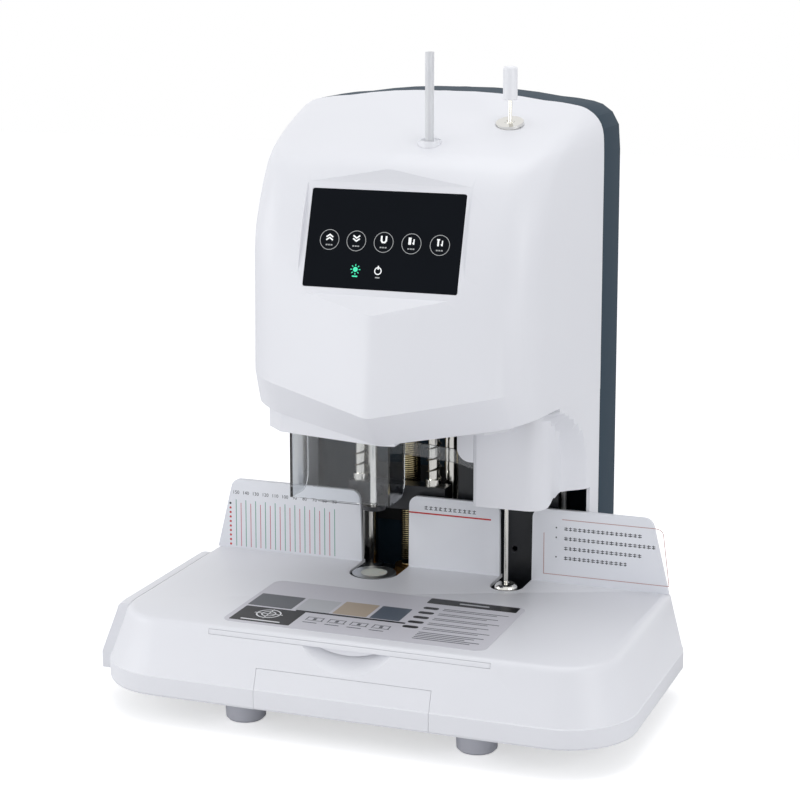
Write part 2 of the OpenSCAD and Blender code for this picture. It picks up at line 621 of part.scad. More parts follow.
// One spring: a round wire swept along a helix.
spring_r = spring_rod_d / 2 + 0.4 + spring_wire / 2;
spring_z0 = collar_z + 0.1 + collar_h + spring_wire / 2 + 0.1;
spring_z1 = carriage_z - spring_wire / 2 - 0.1;
module spring(x) translate([x, rod_y, 0]) {
    steps = 14;
    n = spring_turns * steps;
    sides = 6;
    pts = [for (i = [0:n]) let (a = 360 * i / steps) for (k = [0:sides - 1]) let (b = 360 * k / sides,
            r = spring_r + spring_wire / 2 * cos(b))
        [r * cos(a), r * sin(a), spring_z0 + (spring_z1 - spring_z0) * i / n + spring_wire / 2 * sin(b)]];
    skin = [for (i = [0:n - 1]) for (k = [0:sides - 1]) let (m = (k + 1) % sides)
        each [[i * sides + k, (i + 1) * sides + k, i * sides + m], [i * sides + m, (i + 1) * sides + k, (i + 1) * sides + m]]];
    ends = [for (k = [1:sides - 2]) each [[0, k, k + 1], [n * sides, n * sides + k + 1, n * sides + k]]];
    polyhedron(points = pts, faces = concat(skin, ends));
}
module presser_springs() color("silver") for (x = [rod_left, rod_right]) spring(x);

// ---- riveting side ----
bar_x0 = rivet_column_x[0] - 14;
bar_x1 = rivet_column_x[1] + 14;
module rivet_plate(z, t, front) translate([0, 0, z]) linear_extrude(t) polygon([
    [rivet_x - 18, front], [rivet_x + 18, front], [rivet_x + 20, column_y - 20], [bar_x1, column_y - 16],
    [bar_x1, column_y + 14], [bar_x0, column_y + 14], [bar_x0, column_y - 16], [rivet_x - 19, column_y - 20]]);
module rivet_bracket() color("slategray") difference() {
    rivet_plate(bracket_z, bracket_t, 30);
    for (x = rivet_column_x) translate([x, column_y, bracket_z - 1]) cylinder(d = column_d + 2 * run, h = bracket_t + 2);
    translate([rivet_x, column_y, bracket_z - 1]) cylinder(d = screw_d + 6, h = bracket_t + 2);
    translate([rivet_x, station_y, bracket_z - 1]) cylinder(d = sleeve_d + 2 * run, h = bracket_t + 2);
}
ram_d = 22;
sleeve_d = 30;
module ram_sleeve() color("silver") translate([rivet_x, station_y, sleeve_z]) difference() {
    union() {
        cylinder(d = sleeve_d, h = bracket_z + bracket_t + 8 - sleeve_z);
        translate([0, 0, bracket_z + bracket_t - sleeve_z]) cylinder(d = sleeve_d + 5, h = 3);
    }
    translate([0, 0, -1]) cylinder(d = ram_d + 2 * run, h = 90);
}
module rivet_carriage() color("slategray") difference() {
    rivet_plate(ram_plate_z, carriage_t, 30);
    for (x = rivet_column_x) translate([x, column_y, ram_plate_z - 1]) cylinder(d = bush_d + 2 * run, h = carriage_t + 2);
    translate([rivet_x, column_y, ram_plate_z - 1]) cylinder(d = nut_d + 2 * run, h = carriage_t + 2);
    translate([rivet_x, station_y, ram_plate_z - 1]) cylinder(d = ram_d + 2 * run, h = carriage_t + 2);
}
module rivet_bushes() color("gold") for (x = rivet_column_x) bush(x, ram_plate_z, carriage_t);
module rivet_nut() color("gold") screw_nut(rivet_x, ram_plate_z, carriage_t);
head_h = 18.4;
module rivet_ram() color("silver") translate([rivet_x, station_y, 0]) difference() {
    union() {
        translate([0, 0, ram_tip + head_h]) cylinder(d = ram_d, h = ram_plate_z + carriage_t + 4 - ram_tip - head_h);
        translate([0, 0, ram_plate_z + carriage_t]) cylinder(d = ram_d + 8, h = 5);
    }
    translate([0, 0, ram_tip]) cylinder(d = rod_d + 1.4, h = 260, $fn = 32);
}
module upper_rivet_head() color("silver") translate([rivet_x, station_y, ram_tip]) difference() {
    rotate_extrude($fn = 64) polygon([[0, 1], [rod_d / 2 + 1.4, 0], [6, 0], [9, 2], [10, 4.5], [10, head_h], [0, head_h]]);
    translate([0, 0, -1]) cylinder(d = rod_d + 0.6, h = head_h + 2, $fn = 32);
}
shield_x0 = 17.5;
shield_x1 = 112;
module rear_shield() color("black") difference() {
    union() {
        translate([shield_x0, beam_y0 + 4, frame_top]) cube([shield_x1 - shield_x0, 2.5, bracket_z - fit - frame_top]);
        translate([shield_x0, beam_y0 + 4, frame_top]) cube([rivet_column_x[0] - 16 - shield_x0, 20, 2]);
    }
    translate([rivet_x - 5, beam_y0, table_z + 23]) rotate([-90, 0, 0]) cylinder(d = 5, h = 12, $fn = 24);
}

// ---- guide rod and rivet tube ----
rod_z0 = frame_top + heater_h + fit;
module guide_rod() color("silver") translate([rivet_x, station_y, rod_z0]) cylinder(d = rod_d, h = handle_z + 12 - rod_z0, $fn = 32);
handle_d = 12.5;
handle_h = 28.7;
module rod_handle() color("whitesmoke") translate([rivet_x, station_y, handle_z]) difference() {
    rotate_extrude($fn = 48) polygon(concat([[0, 0], [handle_d / 2 - 1, 0], [handle_d / 2, 1]],
        [for (a = [0:15:90]) [handle_d / 2 - 2.5 + 2.5 * cos(a), handle_h - 2.5 + 2.5 * sin(a)]], [[0, handle_h]]));
    translate([0, 0, -1]) cylinder(d = rod_d + 2 * run, h = 13.2, $fn = 32);
}

// ---- head shell ----
// Rows of the head from its lower edge to the arch, each written as the prow
// line [y, z], first crease [x, y, z], second crease [x, y, z], joint line
// [x, z] and the bulge of the panes between prow and first crease.
HEAD_ROWS = [
    [-66, 236, 106, -46, 254, 125, -34, 260, 145.5, 262, 0],
    [-95, 265, 106, -65, 285, 126, -41, 288, 145.5, 290, 0],
    [-85, 349.5, 107, -57.5, 357, 126, -40, 357, 145.5, 357, 0],
    [-63, 408, 106.5, -50, 415, 126, -37, 412, 145.5, 412, 0],
    [-40.5, 467, 112, -26.5, 463, 129, 0, 466, 145.5, 470, 0.4],
    [-10, 484, 115, 8, 481, 132, 40, 486, 144, 492, 1],
    [30, 497, 117, 42, 493, 131, 66, 497, 138, 503, 1.4],
    [70, 510, 118, 76, 504, 127, 88, 505.5, 129, 509.5, 1.8],
    [103, 522, 105, 103, 514.5, 114, 103, 513.1, 121, 512, 2]];
// Scaled from the drawn head to the set width, reach and height.
function head_x(x) = x * head_w / 291;
function head_y(y) = joint_y + (y - 103) * head_reach / 198;
function head_z(z) = chin_z + (z - 236) * (head_top - chin_z) / 286;
// A row moved inward by t; its height sinks by t where the head's top is flat.
function row_at(r, t, drop) = [head_y(r[0]) + t * 1.15, head_z(r[1]) - t * drop,
    head_x(r[2]) - t * 0.8, head_y(r[3]) + t * 0.8, head_z(r[4]) - t * drop,
    head_x(r[5]) - t, head_y(r[6]) + t * 0.5, head_z(r[7]) - t * drop,
    head_x(r[8]) - t, head_z(r[9]) - t * drop, r[10]];
drops = [0, 0, 0, 0, 0.3, 0.8, 0.9, 1, 1];
function head_rows(t) = [for (i = [0:8]) row_at(HEAD_ROWS[i], t, drops[i])];
function cat_rom(a, b, c, d, t) =
    (2 * b + (c - a) * t + (2 * a - 5 * b + 4 * c - d) * t * t + (3 * b - 3 * c + d - a) * t * t * t) / 2;
function round_corner(a, b, c, d) = let (
        p = b + (a - b) * min(d / max(norm(a - b), 0.01), 0.45),
        q = b + (c - b) * min(d / max(norm(c - b), 0.01), 0.45))
    [for (t = [0:0.25:1]) (1 - t) * (1 - t) * p + 2 * t * (1 - t) * b + t * t * q];
function pane(a, b, bulge) = [for (s = [0.25:0.25:0.75]) a + (b - a) * s + [0, 0, 4 * bulge * s * (1 - s)]];
function mirror_x(v) = [for (i = [len(v) - 1:-1:0]) [-v[i][0], v[i][1], v[i][2]]];
// One row as a ring, from the left joint round the prow to the right joint.
function head_ring(r, y_rear) = let (
        ridge = [0, r[0], r[1]], c1 = [r[2], r[3], r[4]], c2 = [r[5], r[6], r[7]], rear = [r[8], y_rear, r[9]],
        nose = round_corner([-c1[0], c1[1], c1[2]], ridge, c1, 6),
        e1 = round_corner(ridge, c1, c2, 14),
        e2 = round_corner(c1, c2, rear, 16),
        right = concat(pane(nose[4], e1[0], r[10]), e1, e2, [rear]))
    concat(mirror_x(right), nose, right);
steps_up = [0, 1 / 3, 2 / 3];
function head_rings(t, y_rear) = let (R = head_rows(t)) concat(
    [head_ring(R[0], y_rear), head_ring(R[1], y_rear)],
    [for (i = [2:7]) for (s = steps_up)
        head_ring(cat_rom(R[i - 1 < 2 ? 2 : i - 1], R[i], R[i + 1], R[i + 2 > 8 ? 8 : i + 2], s), y_rear)],
    [head_ring(R[8], y_rear)]);
function lowered(ring, d) = [for (p = ring) p - [0, 0, d]];
module head_outer() loft(head_rings(0, joint_y));
module head_inner(t = 0) {
    rings = head_rings(wall + t, joint_y + 1);
    loft(concat([lowered(rings[0], 30)], rings));
}

// ---- panel in the prow ----
glass_mid = [0, -52.5, 408.2];
panel_tilt = 17.7;
panel_t = 6;
module at_panel() translate([0, head_y(glass_mid[1]), head_z(glass_mid[2])]) rotate([90 - panel_tilt, 0, 0]) children();
// Everything in front of the bezel: a flat field and a pane above and below it.
module panel_front(back) hull() for (y = [-130, back]) for (p = [
        [-74, -67, 363], [74, -67, 363], [-73.5, -38, 454], [73.5, -38, 454], [0, -85.2, 349.4], [0, -40.6, 467]])
    translate([head_x(p[0]), head_y(p[1]) + y, head_z(p[2])]) cube(0.02, center = true);
module rounded_plate(w, h, r, t) linear_extrude(t) offset(r = r) square([w - 2 * r, h - 2 * r], center = true);

// ---- rivet lobe ----
lobe_left = 54;
lobe_front = 20;
lobe_side = 120;
lobe_r = 18;
lobe_top = 264;
arch_top = 262;
arch_low = 200;
// Where the cove between lobe and column wall lies at a height: a quarter of
// an ellipse that swings forward under the head.
function arch_y(z) = z <= arch_low ? 78 : 102 * sqrt(max(0, 1 - pow((z - arch_low) / (arch_top - arch_low), 2))) - 24;
function wall_x(y) = let (a = HEAD_ROWS[0]) head_x(a[5] + (a[8] - a[5]) * (y - a[6]) / (103 - a[6])) - 0.2;
function lobe_x(y) = y >= lobe_front + lobe_r ? lobe_side
    : lobe_side - lobe_r + sqrt(max(0, pow(lobe_r, 2) - pow(lobe_front + lobe_r - y, 2)));
function ease(s) = let (c = max(0, min(1, s))) c * c * (3 - 2 * c);
lobe_y = concat([for (a = [0:15:90]) lobe_front + lobe_r * (1 - cos(a))], [43, 48, 53, 58, 62, 66, 70, 74, 78, 82, 88, 95]);
function lobe_ring(z, t) = let (
        right = [for (y = lobe_y) let (s = ease((y - arch_y(z) + 14) / 16)) [lobe_x(y) + (wall_x(y) - lobe_x(y)) * s, y]],
        rear_y = joint_y + (t > 0 ? 1 : 0))
    [for (p = concat([[lobe_left + t, rear_y], [lobe_left + t, lobe_front + t + 4], [lobe_left + t + 1.2, lobe_front + t + 1.2],
        [lobe_left + t + 4, lobe_front + t]],
        [for (q = right) [q[0] - t, max(q[1], lobe_front + t)]], [[wall_x(103) - t, rear_y]])) [p[0], p[1], z]];
lobe_steps = [cover_bottom, 200, 206, 216, 225, 233, 240, 246, 251, 255, 258, 260.5, lobe_top];
module lobe_solid(t = 0) loft([for (z = t > 0 ? concat([cover_bottom - 5], [for (i = [1:len(lobe_steps) - 1]) lobe_steps[i]], [lobe_top + 5])
    : lobe_steps) lobe_ring(z, t)]);
module lobe() difference() {
    lobe_solid();
    lobe_solid(wall);
    // rear half of the left wall stays open for the rivet bracket
    translate([lobe_left - 1, 72, cover_bottom - 1]) cube([wall + 2, joint_y, lobe_top]);
    // lower edge, which steps up towards the riveting station; behind the
    // table the right wall runs on down to the desk
    translate([lobe_left - 1, 0, 0]) rotate([90, 0, 90]) linear_extrude(lobe_side) polygon([[0, cover_bottom - 1],
        [table_rear + 0.5, cover_bottom - 1], [table_rear + 0.5, 177], [51, 172.5], [49, 174],
        [44, 173], [38, 170.5], [32, 168.2], [24, 167], [0, 167]]);
    // open into the head
    loft(head_rings(wall, joint_y + 1));
}
// Web to the left of the lobe, with one round corner.
module lobe_web() translate([0, lobe_front + wall + 0.5, 0]) rotate([90, 0, 0]) linear_extrude(wall) difference() {
    union() {
        translate([lobe_left - 14, 218]) square([16, 28]);
        translate([lobe_left - 2, 206]) square([4, 20]);
        translate([lobe_left - 2, 218]) circle(r = 12, $fn = 48);
    }
    translate([lobe_left + 1, 190]) square([30, 60]);
}
// Left wall of the column in front of the joint.
module left_wall() {
    translate([-column_half, 98, cover_bottom]) cube([wall, joint_y - 98, head_z(262) - cover_bottom + 1]);
    // lap that slips inside the back cover
    translate([-column_half + wall - 0.5, 98, cover_bottom]) cube([2, joint_y - 98, head_z(262) - cover_bottom]);
    translate([-column_half + wall + fit, 98, cover_bottom + wall + fit]) cube([2, 40, 200]);
}

module front_cover() color("whitesmoke") difference() {
    union() {
        difference() {
            head_outer();
            difference() {
                head_inner();
                panel_front(panel_t);
            }
        }
        lobe();
        lobe_web();
        left_wall();
    }
    panel_front(0);
    // seat and window of the panel glass
    at_panel() translate([0, 0, -glass_t - 0.1]) rounded_plate(glass_w + 2 * fit, glass_h + 2 * fit, 2, 20);
    at_panel() translate([0, 0, -20]) rounded_plate(glass_w - 10, glass_h - 10, 2, 30);
    translate([rivet_x, station_y, rod_seat_z - 30]) cylinder(d = rod_sleeve_d + fit, h = 60);
    translate([rivet_x, station_y, rod_seat_z]) rotate([top_slope, 0, 0]) cylinder(d = 24 + 2 * fit, h = 30);
    translate([tube_x, tube_y, cup_top - 40]) cylinder(d = tube_cup_d + fit, h = 60);
}

panel_edge = 5;
module panel_glass() color("darkslategray") at_panel() translate([0, 0, -glass_t])
    rounded_plate(glass_w, glass_h, 1.7, glass_t);
module touch_board() color("darkgreen") at_panel() {
    translate([0, 0, -10]) rounded_plate(glass_w - 2, glass_h - 2, 3, 1.6);
    // posts that seat on the back of the bezel
    for (x = [-1, 1]) for (y = [-1, 1]) translate([x * (glass_w / 2 - 3.6), y * (glass_h / 2 - 3.6), -8.6])
        cylinder(d = 4, h = 8.6 - panel_t, $fn = 24);
    // display and the five touch keys behind the glass
    translate([-30, -2, -8.5]) cube([60, 30, 3]);
    for (x = [-50:25:50]) translate([x, -24, -8.5]) cylinder(d = 14, h = 2.5, $fn = 32);
}

rod_sleeve_d = 11;
tube_cup_d = 20;
top_slope = 18.5;
rod_seat_z = head_z(498.6);
module rod_escutcheon() color("silver") translate([rivet_x, station_y, 0]) difference() {
    union() {
        translate([0, 0, rod_seat_z - 26]) cylinder(d = rod_sleeve_d, h = 26);
        translate([0, 0, rod_seat_z]) rotate([top_slope, 0, 0]) cylinder(d = 24, h = 2.6);
    }
    translate([0, 0, rod_seat_z - 30]) cylinder(d = rod_d + 2 * run, h = 40, $fn = 32);
    translate([0, 0, rod_seat_z + 1]) rotate([top_slope, 0, 0]) cylinder(d1 = 6, d2 = 10, h = 2, $fn = 32);
}
cup_top = head_z(487.5);
module tube_collar() color("whitesmoke") translate([tube_x, tube_y, 0]) difference() {
    union() {
        translate([0, 0, cup_top - 14]) cylinder(d = tube_cup_d, h = 14);
        translate([0, 0, cup_top - 80]) cylinder(d = tube_d + 5, h = 70, $fn = 32);
    }
    translate([0, 0, cup_top - 78]) cylinder(d = tube_d + 2 * run, h = 90, $fn = 32);
    translate([0, 0, cup_top - 5]) cylinder(d1 = tube_d + 2 * run, d2 = tube_cup_d - 4, h = 5.1, $fn = 32);
}
tube_l = 152;
module rivet_tube() color("whitesmoke") translate([tube_x, tube_y, cup_top - 78 + fit]) difference() {
    cylinder(d = tube_d, h = tube_l, $fn = 32);
    translate([0, 0, -1]) cylinder(d = tube_d - 2, h = tube_l + 2, $fn = 32);
}

// ---- chin ----
chin_floor = 246;
skirt_z = 235.5;
skirt_top = 261;
skirt_t = 2.5;
module chin_cover() color("whitesmoke") difference() {
    union() {
        // floor, cut out where the screw and the clear strap pass
        translate([0, 0, chin_floor]) linear_extrude(skirt_t) difference() {
            polygon([[-115, 26], [-115, -26], [-98, -41], [0, -61], [84, -38], [99, -18], [99, 16], [14, 16], [14, 26]]);
            translate([14, -48]) square([30, 80]);
        }
        // skirt that follows the prow on the left and closes up inside the head
        translate([0, 0, skirt_z]) linear_extrude(skirt_top - skirt_z) difference() {
            polygon([[-117, 26], [-117, -27], [-99.5, -44.5], [0, -64.5], [13, -62], [13, -40], [-107, 26]]);
            polygon([[-117 + skirt_t, 30], [-117 + skirt_t, -26], [-98.5, -42], [0, -61.8], [11, -59.5], [11, -30], [14, 30]]);
        }
    }
    // clear of the head's lower edge
    difference() {
        head_outer();
        head_inner(fit);
    }
    for (x = guard_screw_x) translate([x, guard_screw_y, chin_floor - 1]) cylinder(d = 3.2, h = skirt_t + 2, $fn = 24);
}

// ---- drill guard: a clear U that hangs from the chin ----
guard_x0 = -95;
guard_x1 = -2;
guard_y0 = -34;
guard_y1 = 3;
guard_z = 175;
guard_t = 2;
guard_screw_x = [-80, -40];
guard_screw_y = -10;
module drill_guard() color("lightcyan") {
    difference() {
        translate([guard_x0, guard_y0, guard_z]) cube([guard_x1 - guard_x0, guard_y1 - guard_y0, chin_floor - 0.2 - guard_z]);
        translate([guard_x0 + guard_t, guard_y0 + guard_t, guard_z - 1])
            cube([guard_x1 - guard_x0 - 2 * guard_t, guard_y1 - guard_y0, chin_floor - 2.2 - guard_z + 1]);
        // round lower rear corners of the side walls
        translate([guard_x0 - 1, 0, 0]) rotate([90, 0, 90]) linear_extrude(guard_x1 - guard_x0 + 2) difference() {
            translate([guard_y1 - 14, guard_z - 1]) square([15, 15]);
            translate([guard_y1 - 14, guard_z + 14]) circle(r = 14, $fn = 64);
        }
        for (x = guard_screw_x) translate([x, guard_screw_y, chin_floor - 4]) cylinder(d = 3.4, h = 5, $fn = 24);
    }
    // strap across to the rivet lobe, in two straight runs
    strap = [[guard_x1 - 2, guard_y1 - 4, 214], [lobe_left - 17, lobe_front + 5.5, 203], [lobe_left - 2.3, lobe_front + 5.5, 199]];
    for (i = [0, 1]) hull() for (p = [strap[i], strap[i + 1]]) translate(p) cube([2, 2, 12]);
}
module guard_screws() color("silver") for (x = guard_screw_x) translate([x, guard_screw_y, 0]) {
    translate([0, 0, chin_floor - 4.6]) cylinder(d = 6, h = 2.2, $fn = 24);
    translate([0, 0, chin_floor - 2.6]) cylinder(d = 3, h = skirt_t + 4, $fn = 24);
}

// ---- back cover ----
back_r = 8;
// The arch's outline, drawn in by d.
function back_ring(y, d) = let (
        right = [for (i = [2:8]) let (r = row_at(HEAD_ROWS[i], 0, 0)) [r[8], r[9]]],
        top = head_ring(row_at(HEAD_ROWS[8], 0, 0), joint_y),
        half = concat([[column_half, cover_bottom], [column_half, 200]], right),
        line = concat(half, [for (i = [len(top) - 2:-1:1]) [top[i][0], top[i][2]]],
            [for (i = [len(half) - 1:-1:0]) [-half[i][0], half[i][1]]]))
    [for (p = line) [p[0] * (1 - d / column_half), y, (p[1] - 275) * (1 - d / 247) + 275]];
module back_solid(t) loft(concat([back_ring(back_y - t, back_r + t)],
    [for (a = [67.5, 45, 22.5, 0]) back_ring(back_y - t - back_r * (1 - sin(a)), t + back_r * (1 - cos(a)))],
    [back_ring(joint_y + fit - (t > 0 ? 1 : 0), t)]));
bay_x0 = 38;
bay_x1 = 110;
bay_z0 = 31.4;
bay_z1 = 59;
bay_depth = 15;
module back_cover() color("slategray") difference() {
    union() {
        difference() {
            back_solid(0);
            back_solid(wall);
        }
        translate([bay_x0 - wall, back_y - bay_depth - wall, bay_z0 - wall])
            cube([bay_x1 - bay_x0 + 2 * wall, bay_depth + wall - 1, bay_z1 - bay_z0 + 2 * wall]);
    }
    translate([bay_x0, back_y - bay_depth, bay_z0]) cube([bay_x1 - bay_x0, bay_depth + 1, bay_z1 - bay_z0]);
    translate([inlet_x - inlet_w / 2 - fit, back_y - bay_depth - wall - 1, inlet_z - inlet_h / 2 - fit])
        cube([inlet_w + 2 * fit, wall + 2, inlet_h + 2 * fit]);
    translate([switch_x - 7 - fit, back_y - bay_depth - wall - 1, inlet_z - 11 - fit]) cube([14 + 2 * fit, wall + 2, 22 + 2 * fit]);
    // open underside
    translate([-column_half + 12, joint_y - 2, cover_bottom - 1]) cube([head_w - 24, back_y - joint_y - 10, 6]);
    // cooling slots
    for (x = [-90:12:30]) translate([x, back_y - 10, 110]) cube([4, 20, 46]);
    for (x = [-60:12:60]) translate([x, back_y - 10, 440]) cube([4, 20, 34]);
}

module control_board() color("darkgreen") {
    translate([-120, back_y - 10, 300]) cube([100, 1.6, 120]);
    for (x = [-114, -26]) for (z = [306, 414]) translate([x, back_y - 8.5, z]) rotate([-90, 0, 0])
        cylinder(d = 6, h = 8.5 - wall, $fn = 24);
    // transformer, capacitors and connectors
    translate([-112, back_y - 34, 308]) cube([40, 24.5, 36]);
    for (i = [0:2]) translate([-60 + 14 * i, back_y - 9.5, 326]) rotate([90, 0, 0]) cylinder(d = 11, h = 20, $fn = 32);
    for (i = [0:3]) translate([-112 + 22 * i, back_y - 18, 398]) cube([16, 8.5, 10]);
}

inlet_x = 86;
inlet_w = 28;
inlet_h = 20;
inlet_z = 45;
switch_x = 56;
module power_inlet() color("black") difference() {
    union() {
        translate([inlet_x - inlet_w / 2, back_y - bay_depth - 24, inlet_z - inlet_h / 2]) cube([inlet_w, 25, inlet_h]);
        translate([inlet_x - inlet_w / 2 - 4, back_y - bay_depth, inlet_z - inlet_h / 2 - 3]) cube([inlet_w + 8, 3, inlet_h + 6]);
        // frame of the switch
        translate([switch_x - 7, back_y - bay_depth - 16, inlet_z - 11]) cube([14, 17, 22]);
        translate([switch_x - 9, back_y - bay_depth, inlet_z - 12.5]) cube([18, 3, 25]);
        translate([switch_x + 8, back_y - bay_depth, inlet_z - 5]) cube([inlet_x - switch_x - 16, 2, 10]);
    }
    // socket with its three pins
    difference() {
        translate([inlet_x - 12, back_y - bay_depth - 15, inlet_z - 8]) cube([24, 20, 16]);
        for (p = [[-7, -2], [7, -2], [0, 3]]) translate([inlet_x + p[0] - 1, back_y - bay_depth - 16, inlet_z + p[1] - 2])
            cube([2, 13, 4]);
    }
    translate([switch_x - 5.5, back_y - bay_depth - 11, inlet_z - 9.5]) cube([11, 20, 19]);
    translate([switch_x, rocker_y, inlet_z]) rotate([0, 90, 0]) cylinder(d = 2.4, h = 13, center = true, $fn = 24);
}
rocker_y = back_y - bay_depth - 3;
rocker_tilt = 11;
module rocker_switch() color("dimgray") translate([switch_x, rocker_y, inlet_z]) rotate([rocker_tilt, 0, 0]) {
    rotate([90, 0, 90]) translate([0, 0, -5]) linear_extrude(10) difference() {
        union() {
            circle(d = 7, $fn = 32);
            polygon([[0, -8.4], [3.6, -8.4], [5, -7], [5.6, 0], [5, 7], [3.6, 8.4], [0, 8.4]]);
        }
        translate([24.6, 0]) circle(r = 20, $fn = 96);
    }
    rotate([0, 90, 0]) cylinder(d = 2.3, h = 12.4, center = true, $fn = 24);
}

place() base_cover();
place() base_pan();
place() feet();
place() foot_screws();
place() side_cover();
place() paper_fence();
place() fence_screws();
place() chip_drawer();
place() support_board();
place() board_rails();
place() pad_holder();
place() cutting_pad();
place() lower_rivet_head();
place() lower_heater();
place() main_frame();
place() drill_columns();
place() rivet_columns();
place() top_plate();
place() column_nuts();
place() foot_bearings();
place() head_bearings();
place() drill_lift_motor();
place() rivet_lift_motor();
place() drill_screw();
place() rivet_screw();
place() drill_carriage();
place() drill_bushes();
place() drill_nut();
place() spindle_housing();
place() spindle_motor();
place() motor_pulley();
place() drive_belt();
place() spindle();
place() hollow_drill();
place() presser_beam();
place() spring_rods();
place() presser_springs();
place() rivet_bracket();
place() ram_sleeve();
place() rivet_carriage();
place() rivet_bushes();
place() rivet_nut();
place() rivet_ram();
place() upper_rivet_head();
place() rear_shield();
place() guide_rod();
place() rod_handle();
place() rod_escutcheon();
place() tube_collar();
place() rivet_tube();
place() front_cover();
place() chin_cover();
place() back_cover();
place() panel_glass();
place() touch_board();
place() drill_guard();
place() guard_screws();
place() control_board();
place() power_inlet();
place() rocker_switch();
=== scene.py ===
import math

import bpy
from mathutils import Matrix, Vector


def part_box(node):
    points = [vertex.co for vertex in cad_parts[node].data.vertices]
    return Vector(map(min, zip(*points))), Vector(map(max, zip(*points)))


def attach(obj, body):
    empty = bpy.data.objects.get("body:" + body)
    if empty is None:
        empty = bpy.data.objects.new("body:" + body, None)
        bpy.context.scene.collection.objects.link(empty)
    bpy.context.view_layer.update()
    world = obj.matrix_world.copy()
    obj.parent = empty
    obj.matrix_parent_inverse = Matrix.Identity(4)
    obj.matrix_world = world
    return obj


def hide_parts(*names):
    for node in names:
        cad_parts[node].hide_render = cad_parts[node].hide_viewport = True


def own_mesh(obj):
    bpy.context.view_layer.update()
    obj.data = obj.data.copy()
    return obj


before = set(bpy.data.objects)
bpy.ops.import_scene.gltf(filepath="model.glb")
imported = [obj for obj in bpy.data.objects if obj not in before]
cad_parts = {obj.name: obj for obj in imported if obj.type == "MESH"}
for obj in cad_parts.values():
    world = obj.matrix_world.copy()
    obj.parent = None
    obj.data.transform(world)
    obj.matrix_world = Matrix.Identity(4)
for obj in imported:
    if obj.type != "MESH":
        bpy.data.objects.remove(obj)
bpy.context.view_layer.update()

# ---- Camera and studio ----
# The machine stands on a pale desk top in a light tent. The camera looks down on it by ten
# degrees from the front right, through a long lens, so that uprights stay nearly parallel.
bpy.ops.object.select_all(action="DESELECT")
bpy.ops.object.camera_add(location=(0.6331, -1.6955, 0.6621), rotation=(math.radians(79.7), 0, math.radians(20.4)))
camera = bpy.context.object
camera.data.sensor_width = 36
camera.data.lens = 96.03
camera.data.shift_x = -0.00625
camera.data.shift_y = -0.103
bpy.context.scene.camera = camera
bpy.context.scene.view_settings.view_transform = "Standard"


def linear(code):
    """The linear colour of an sRGB hex value."""
    parts = [int(code[i:i + 2], 16) / 255 for i in (1, 3, 5)]
    return [*(p / 12.92 if p <= 0.04045 else ((p + 0.055) / 1.055) ** 2.4 for p in parts), 1]


def add(finish, kind, sockets=None, **settings):
    """Adds a node. A socket is given a value, or another node's output that it is linked to."""
    made = finish.node_tree.nodes.new(kind)
    for name, value in settings.items():
        setattr(made, name, value)
    for name, value in (sockets or {}).items():
        if isinstance(value, bpy.types.NodeSocket):
            finish.node_tree.links.new(value, made.inputs[name])
        else:
            made.inputs[name].default_value = value
    return made


def soft_box(name, place, aim, size, watts):
    """A square lamp behind a diffuser, turned to a point."""
    turn = (Vector(aim) - Vector(place)).to_track_quat("-Z", "Y").to_euler()
    bpy.ops.object.light_add(type="AREA", location=place, rotation=turn)
    lamp = bpy.context.object
    lamp.name = name
    lamp.data.size = size
    lamp.data.energy = watts
    return lamp


soft_box("key_soft_box", (-2.2, -1.0, 0.9), (0, 0, 0.25), 1.3, 14)
soft_box("low_soft_box", (-1.4, -1.6, 0.3), (0, 0, 0.25), 0.9, 6)
soft_box("side_soft_box", (2.0, -1.0, 0.8), (0, 0, 0.25), 1.3, 12)
soft_box("top_soft_box", (0.1, 0.1, 2.0), (0, 0, 0.2), 1.5, 12)

# The tent is white to the eye and in reflections, and gives a plain fill light.
tent = bpy.data.worlds.new("light_tent")
tent.use_nodes = True
bpy.context.scene.world = tent
seen = add(tent, "ShaderNodeLightPath")
seen_or_gloss = add(tent, "ShaderNodeMath", {0: seen.outputs["Is Camera Ray"], 1: seen.outputs["Is Glossy Ray"]},
                    operation="MAXIMUM")
seen_at_all = add(tent, "ShaderNodeMath", {0: seen_or_gloss.outputs[0], 1: seen.outputs["Is Transmission Ray"]},
                  operation="MAXIMUM")
tent_light = add(tent, "ShaderNodeMix", {"Factor": seen_at_all.outputs[0], "A": linear("#C0C1C4"), "B": (1, 1, 1, 1)},
                 data_type="RGBA")
tent.node_tree.links.new(tent_light.outputs["Result"], tent.node_tree.nodes["Background"].inputs["Color"])

# Desk top: matt laminate, so pale that it meets the tent without an edge and still takes a shadow.
bpy.ops.mesh.primitive_plane_add(size=9, location=(0, 0, -0.0005))
desk = bpy.context.object
desk.name = "desk_top"
desk_laminate = bpy.data.materials.new("matt_white_laminate")
desk_laminate.use_nodes = True
desk_shader = desk_laminate.node_tree.nodes["Principled BSDF"]
desk_shader.inputs["Base Color"].default_value = linear("#EBEBEC")
desk_shader.inputs["Roughness"].default_value = 0.7
desk_shader.inputs["Emission Color"].default_value = (1, 1, 1, 1)
desk_seen = add(desk_laminate, "ShaderNodeLightPath")
desk_lift = add(desk_laminate, "ShaderNodeMath", {0: desk_seen.outputs["Is Camera Ray"], 1: 0.55}, operation="MULTIPLY")
desk_laminate.node_tree.links.new(desk_lift.outputs[0], desk_shader.inputs["Emission Strength"])
desk.data.materials.append(desk_laminate)

# ---- Underside pan, feet and their screws ----
# The pan is 1.5 mm zinc plated steel, folded and pierced; the four feet are turned from grey
# rubber and held by pan-head screws with nuts inside the base.
MM = 0.001


def new_finish(name):
    """An empty finish: its material and the shader that gives it its look."""
    finish = bpy.data.materials.new(name)
    finish.use_nodes = True
    return finish, finish.node_tree.nodes["Principled BSDF"]


